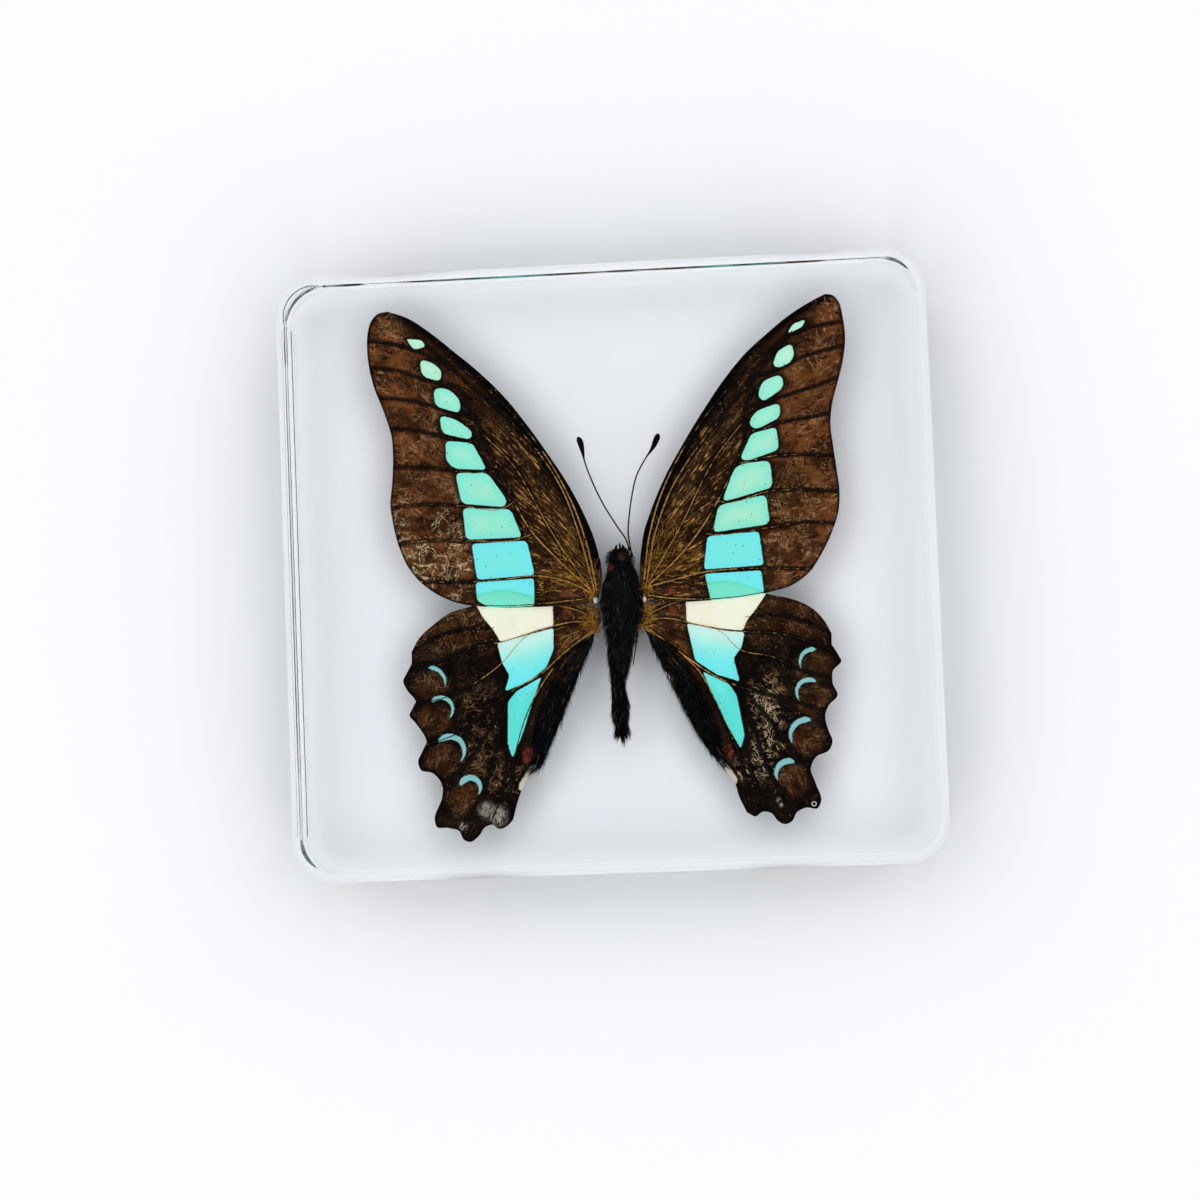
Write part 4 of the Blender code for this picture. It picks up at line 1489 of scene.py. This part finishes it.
def gold_hairs(side, rng, share):
    """Curled gold hairs in tufts at a wing's root, and loose strands that fan out over the forewing."""
    sign = SIGNS[side]
    parts = []
    for place, spread in GOLD_TUFTS[side]:
        count = int(46 * share)
        start = np.array(place) + rng.normal(0, 1, (count, 3)) * np.array([spread, spread * 1.1, 0.10])
        way = rng.normal(0, 0.8, (count, 3)) * np.array([1, 1, 0.4]) + np.array([sign * 0.45, -0.1, 0.1])
        bend = rng.normal(0, 0.9, (count, 3)) * np.array([1, 1, 0.3])
        length, radius = rng.uniform(0.30, 0.75, count), rng.uniform(0.026, 0.048, count)
        parts.append(strands(start, unit(way), length, radius, bend, rng.random(count) ** 0.9))
    count = int(210 * share)
    reach = 0.8 + 6.2 * rng.random(count) ** 0.9
    turn = np.radians(rng.uniform(-8.0, 72.0, count))
    ray = np.column_stack([sign * np.cos(turn), np.sin(turn)])
    plan = np.array(FOREWINGS[side]["root"][1]) + ray * reach[:, None]
    roots = np.column_stack([plan, sheet_height(side, "fore", plan) + rng.uniform(0.07, 0.16, count)])
    heading = unit(np.column_stack([ray + rng.normal(0, 0.22, (count, 2)), rng.normal(0.0, 0.02, count)]))
    bend = np.column_stack([rng.normal(0, 0.50, (count, 2)), np.full(count, -0.01)])
    length = rng.uniform(0.5, 2.3, count) * np.clip(1.3 - reach / 12.0, 0.4, 1.0)
    radius = rng.uniform(0.018, 0.036, count)
    parts.append(strands(roots, heading, length, radius, bend, rng.random(count) ** 1.2))
    return joined(parts)


def body_hairs(name, rows, count, length, lean, rng):
    """Hairs of one body part, lying backwards, or forwards on the head, where they keep off the eyes."""
    path, wide, high = body_rows(rows, 60)
    _, _, rings = lathe(path, wide, high, 48)
    roots, out, back = scatter(rings, path, count, rng)
    forward = -0.35 if name == "head_hair" else 1.0
    heading = unit(back * forward + out * lean + rng.normal(0, 0.22, (count, 3)))
    reach = rng.uniform(*length, count)
    if name == "head_hair":
        keep = np.ones(count, bool)
        for centre, radius in EYES.values():
            keep &= np.linalg.norm((roots - np.array(centre))[:, :2], axis=1) > radius * 0.80
        roots, heading, reach, back = roots[keep], heading[keep], reach[keep], back[keep]
        count = int(keep.sum())
    # a share of the hairs get the painted glint
    shade = shades_with_painted_glints(rng, count, 0.05)
    return strands(roots, heading, reach, rng.uniform(0.014, 0.024, count), back * 0.15, shade)


def tail_locks(count, rng):
    """Three locks of longer hair at the end of the abdomen, the middle one the longest."""
    height = bpy.context.scene.resin_butterfly_body.height / MM
    start = np.array([0.72, -18.3, height]) + rng.normal(0, 1, (count, 3)) * np.array([0.15, 0.28, 0.2])
    lock = rng.choice(TAIL_LOCKS, count)
    sideways, upwards = lock + rng.normal(0, 0.05, count), rng.normal(0, 0.1, count)
    heading = unit(np.column_stack([sideways, np.full(count, -1.0), upwards]))
    start[:, 0] += lock * 0.7
    length = rng.uniform(0.8, 1.8, count) + 0.6 * (lock == TAIL_LOCKS[1])
    return strands(start, heading, length, np.full(count, 0.034), heading * 0.0, rng.random(count) * 0.05)


def thorax_lumps(u, turn):
    """Radius factor: 1 with low waves along and around the thorax."""
    return 1 + 0.03 * np.sin(u * 17.0) * np.cos(turn * 2) + 0.02 * np.sin(turn * 5 + u * 9.0)


def abdomen_rings(u, turn):
    """Radius factor: nine segments, each rising by a power of the way along it, with low waves around."""
    return 1 + 0.055 * ((u * 9.0) % 1.0) ** 1.5 - 0.02 + 0.015 * np.sin(turn * 4 + u * 13.0)


def limb_chain(knots):
    """A leg: three tapering pieces between its joints, each arched a little, the last one beaded."""
    limbs = []
    even = np.linspace(0, 1, LIMB_STEPS)
    for k, (thick, thin) in enumerate(((0.20, 0.13), (0.13, 0.09), (0.08, 0.05))):
        limb = knots[k] + (knots[k + 1] - knots[k]) * even[:, None]
        limb[:, 2] += 0.10 * np.sin(even * math.pi)
        beads = 1 + (0.18 * np.cos(even * 10 * math.pi) if k == 2 else 0.0)
        limbs.append((*tube(limb, (thick + (thin - thick) * even) * beads, 10), {}))
    return joined(limbs)[:2]


class RESIN_OT_body(bpy.types.Operator):
    """Form the body: head, eyes, thorax, abdomen, antennae, tongue and legs"""

    bl_idname = "resin.body"
    bl_label = "Body"

    def execute(self, context):
        body = context.scene.resin_butterfly_body
        shell = chitin_material("Dark shell", body.shell_dark, body.shell_light)
        for name, rows, count, sides, lump in (
            ("thorax", THORAX, 60, 64, thorax_lumps),
            ("head", HEAD, 40, 56, None),
            ("abdomen", ABDOMEN, 150, 56, abdomen_rings),
        ):
            points, faces, _ = lathe(*body_rows(rows, count), sides, lump)
            finish_piece(put_mesh(name, points, faces), shell)

        facets = eye_material("Compound eye")
        for side, (centre, radius) in EYES.items():
            eye = put_mesh(f"eye_{side}", *ball(centre, (radius, radius * 1.08, radius * 0.8)))
            finish_piece(eye, facets)

        horn = chitin_material("Antenna shell", body.horn_dark, body.horn_light)
        for side, line in ANTENNAE.items():
            path = curve_through(line, ANTENNA_STEPS)
            along = np.linspace(0, 1, ANTENNA_STEPS)
            rounding = np.sqrt(np.clip(1 - step(along, 0.965, 1.0) ** 2 * 0.75, 0, 1))
            club = 0.27 * step(along, 0.80, 0.965) * rounding
            rings = 0.010 * np.cos(along * 2 * math.pi * 42)
            radius = 0.085 + rings + club + 0.05 * step(along, 0.03, 0.0)
            finish_piece(put_mesh(f"antenna_{side}", *tube(path, radius, 14)), horn)

        turn = np.linspace(0, 4.6 * math.pi, TONGUE_STEPS)
        reach = 0.85 - 0.70 * turn / turn[-1]
        coil = np.column_stack([1.3 + 0.012 * turn, 1.9 + reach * np.cos(turn), 4.35 + reach * np.sin(turn)])
        tongue = put_mesh("proboscis", *tube(coil, np.linspace(0.11, 0.05, TONGUE_STEPS), 10))
        finish_piece(tongue, horn)
        for side, sign in SIGNS.items():
            palp = curve_through([(PALP_X + sign * across, y, z) for across, y, z in PALP], PALP_STEPS)
            radius = 0.27 * (1 - 0.6 * np.linspace(0, 1, PALP_STEPS))
            finish_piece(put_mesh(f"palp_{side}", *tube(palp, radius, 14)), shell)
            for name, line in LEGS.items():
                knots = np.array(line) * np.array([sign, 1, 1]) + np.array([BODY_X, 0, 0])
                finish_piece(put_mesh(f"leg_{name}_{side}", *limb_chain(knots)), horn)
        return {"FINISHED"}


class RESIN_OT_hair(bpy.types.Operator):
    """Cover the body and the wing folds with hair"""

    bl_idname = "resin.hair"
    bl_label = "Hair"

    def execute(self, context):
        body = context.scene.resin_butterfly_body
        share = 1.0
        # the body hair's paler colour is a painted glint
        dark = hair_material("Body hair", body.hair_dark, body.painted_hair_glint, 0.4)
        for name, rows, many, length, lean, seed in (
            ("thorax_hair", THORAX, body.thorax_hairs, (0.45, 1.05), 0.50, 11),
            ("head_hair", HEAD, body.head_hairs, (0.35, 0.80), 0.95, 12),
            ("abdomen_hair", ABDOMEN, body.abdomen_hairs, (0.40, 0.95), 0.20, 13),
        ):
            rng = np.random.default_rng(seed)
            parts = [body_hairs(name, rows, int(many * share), length, lean, rng)]
            if name == "abdomen_hair":
                parts.append(tail_locks(int(420 * share), rng))
            finish_piece(put_mesh(name, *joined(parts)), dark)
        for side, seed in (("left", 21), ("right", 22)):
            fold = fold_hairs(side, np.random.default_rng(seed))
            finish_piece(put_mesh(f"fold_hair_{side}", *fold), dark)

        gilded = hair_material("Gold tufts", body.tuft_dark, body.tuft_light, 0.5)
        for side, seed in (("left", 31), ("right", 32)):
            tufts = gold_hairs(side, np.random.default_rng(seed), share)
            finish_piece(put_mesh(f"gold_tuft_{side}", *tufts), gilded)
        return {"FINISHED"}


# ---------------------------------------------------------------------------------------------------------
# Small details: centre and half sizes, in millimetres

ROOT_DOTS = {
    "left": ((-1.65, -3.75, 6.35), (0.26, 0.36, 0.16)),
    "right": ((4.0, -3.85, 6.35), (0.20, 0.34, 0.14)),
}
BUBBLES = [
    ((6.35, -12.9, 6.1), (0.20, 0.34, 0.20)), ((6.75, -13.15, 6.3), (0.14, 0.20, 0.14)),
    ((6.10, -13.4, 6.0), (0.10, 0.14, 0.10)), ((-29.5, 12.3, 6.8), (0.10, 0.10, 0.10)),
    ((30.8, -9.6, 4.2), (0.09, 0.09, 0.09)), ((12.4, 30.3, 3.6), (0.12, 0.12, 0.12)),
    ((-8.2, -28.8, 6.9), (0.08, 0.08, 0.08)), ((-31.6, -21.5, 3.2), (0.11, 0.11, 0.11)),
]
CHIP_RING = (22.4, -28.0)  # the pale ring at the right tail: centre, radius and thickness
CHIP_RADIUS, CHIP_THICKNESS = 0.24, 0.06


class RESIN_OT_details(bpy.types.Operator):
    """Add the pale dots at the wing roots, the chipped ring on the tail and the small bubbles"""

    bl_idname = "resin.details"
    bl_label = "Small details"

    def execute(self, context):
        body = context.scene.resin_butterfly_body
        pale, wires, shader, spot = new_material("Pale scales")
        shade = wires.mix(wires.noise(spot, 4.0), body.dot_shade, body.dot_pale)
        wires.join(shade, shader.inputs["Base Color"])
        shader.inputs["Roughness"].default_value = 0.7
        for side, (place, half) in ROOT_DOTS.items():
            finish_piece(put_mesh(f"root_dot_{side}", *ball(place, half, 14, 20)), pale)
        # the ring is open by two steps where its ends meet, so that they keep apart
        turn = np.linspace(0, 2 * math.pi, 40)[:-2]
        middle = np.array(CHIP_RING)
        level = sheet_height("right", "hind", middle[None])[0] + 0.08
        plan = middle + CHIP_RADIUS * np.column_stack([np.cos(turn), np.sin(turn)])
        ring = np.column_stack([plan, np.full(len(turn), level)])
        finish_piece(put_mesh("chip_ring", *tube(ring, CHIP_THICKNESS, 8)), pale)

        air, wires, shader, spot = new_material("Trapped air")
        shade = wires.mix(wires.noise(spot, 2.0), (0.95, 0.97, 1.0), (1.0, 1.0, 1.0))
        wires.join(shade, shader.inputs["Base Color"])
        shader.inputs["Transmission Weight"].default_value = 1.0
        shader.inputs["Roughness"].default_value = 0.0
        shader.inputs["IOR"].default_value = 1.25
        for number, (place, half) in enumerate(BUBBLES):
            finish_piece(put_mesh(f"bubble_{number + 1}", *ball(place, half, 14, 20)), air)
        return {"FINISHED"}


# ---------------------------------------------------------------------------------------------------------
# The stage: how far the floor lies under the block in metres, and each light's place, size and power

FLOOR_GAP = 0.0004
LIGHTS = (
    ("Key light", (-0.55, 0.50, 0.60), 0.22, 1.6),
    ("Fill light", (0.62, -0.35, 0.55), 0.22, 1.1),
)


def aim(direction):
    """Euler angles that turn a light's or camera's own -Z to the direction."""
    x, y, z = np.array(direction) / np.linalg.norm(direction)
    return (math.acos(-z), 0.0, math.atan2(x, -y) if abs(x) + abs(y) > 1e-9 else 0.0)


class RESIN_OT_stage(bpy.types.Operator):
    """Lay the floor and set the lights and the camera"""

    bl_idname = "resin.stage"
    bl_label = "Floor, lights and camera"

    def execute(self, context):
        stage = context.scene.resin_butterfly_stage
        middle = (np.array(BLOCK_LOW) + np.array(BLOCK_HIGH)) / 2
        base = np.array([middle[0], middle[1], BLOCK_LOW[2]])

        turn = np.linspace(0, 2 * math.pi, 96, endpoint=False)
        disc = np.column_stack([np.cos(turn), np.sin(turn), np.zeros(96)]) * stage.floor_radius / MM
        disc += (base + np.array([0, 0, -FLOOR_GAP])) / MM
        floor = put_mesh("floor", disc, [np.arange(96)[None]])
        material, wires, shader, spot = new_material("Pale floor")
        cloud = wires.noise(spot, 0.01, 2.0)
        shade = wires.mix(cloud, stage.floor_colour, stage.floor_colour * 0.985)
        wires.join(shade, shader.inputs["Base Color"])
        shader.inputs["Roughness"].default_value = 0.9
        shader.inputs["Specular IOR Level"].default_value = 0.1
        floor.data.materials.append(material)

        world = bpy.data.worlds.new("Soft surround")
        world.use_nodes = True
        context.scene.world = world
        air = Wiring(world.node_tree)
        split = air.add("ShaderNodeSeparateXYZ")
        air.join(air.add("ShaderNodeTexCoord").outputs["Generated"], split.inputs[0])
        bright = air.span(split.outputs[2], 0.90, 0.968, stage.surround, stage.overhead)
        bright = air.math("MULTIPLY", bright, air.span(split.outputs[2], 0.0, 0.38, stage.horizon, 1.0))
        background = world.node_tree.nodes["Background"]
        background.inputs["Color"].default_value = (0.97, 0.985, 1.0, 1.0)
        air.join(bright, background.inputs["Strength"])

        for name, place, size, power in LIGHTS:
            light = bpy.data.lights.new(name, "AREA")
            light.shape = "DISK"
            light.size = size
            light.energy = power
            lamp = bpy.data.objects.new(name, light)
            context.scene.collection.objects.link(lamp)
            lamp.location = base + np.array(place)
            lamp.rotation_euler = aim(-np.array(place))

        camera_data = bpy.data.cameras.new("Camera")
        camera_data.lens = stage.lens
        camera_data.sensor_width = 36.0
        camera_data.clip_start = 0.005
        camera = bpy.data.objects.new("Camera", camera_data)
        context.scene.collection.objects.link(camera)
        camera.location = base + np.array(stage.camera_place)
        camera.rotation_euler = stage.camera_turn
        context.scene.camera = camera
        context.scene.view_settings.view_transform = "Standard"
        # resin stays sharp for light that a rough surface has scattered, so it is as clear as its index says
        context.scene.cycles.blur_glossy = 0.0
        return {"FINISHED"}


# ---------------------------------------------------------------------------------------------------------
# Add-on


class RESIN_PT_panel(bpy.types.Panel):
    """Buttons for each step"""

    bl_label = "Butterfly in clear resin"
    bl_idname = "RESIN_PT_panel"
    bl_space_type = "VIEW_3D"
    bl_region_type = "UI"
    bl_category = "Resin"

    def draw(self, context):
        for step_class in STEPS:
            self.layout.operator(step_class.bl_idname, text=step_class.bl_label)


GROUPS = (
    ("resin_butterfly_block", ResinSettings),
    ("resin_butterfly_wings", WingSettings),
    ("resin_butterfly_body", BodySettings),
    ("resin_butterfly_stage", StageSettings),
)
STEPS = (
    RESIN_OT_block, RESIN_OT_wings, RESIN_OT_veins, RESIN_OT_body, RESIN_OT_hair, RESIN_OT_details,
    RESIN_OT_stage,
)


def register():
    """Add the settings, steps and panel to Blender."""
    for key, group in GROUPS:
        bpy.utils.register_class(group)
        setattr(bpy.types.Scene, key, PointerProperty(type=group))
    for step_class in STEPS + (RESIN_PT_panel,):
        bpy.utils.register_class(step_class)


def unregister():
    """Take the panel, steps and settings away again."""
    for step_class in (RESIN_PT_panel,) + STEPS[::-1]:
        bpy.utils.unregister_class(step_class)
    for key, group in GROUPS[::-1]:
        delattr(bpy.types.Scene, key)
        bpy.utils.unregister_class(group)


def main():
    """Run each step in order."""
    register()
    for step_class in STEPS:
        family, name = step_class.bl_idname.split(".")
        getattr(getattr(bpy.ops, family), name)()


if __name__ == "__main__":
    main()
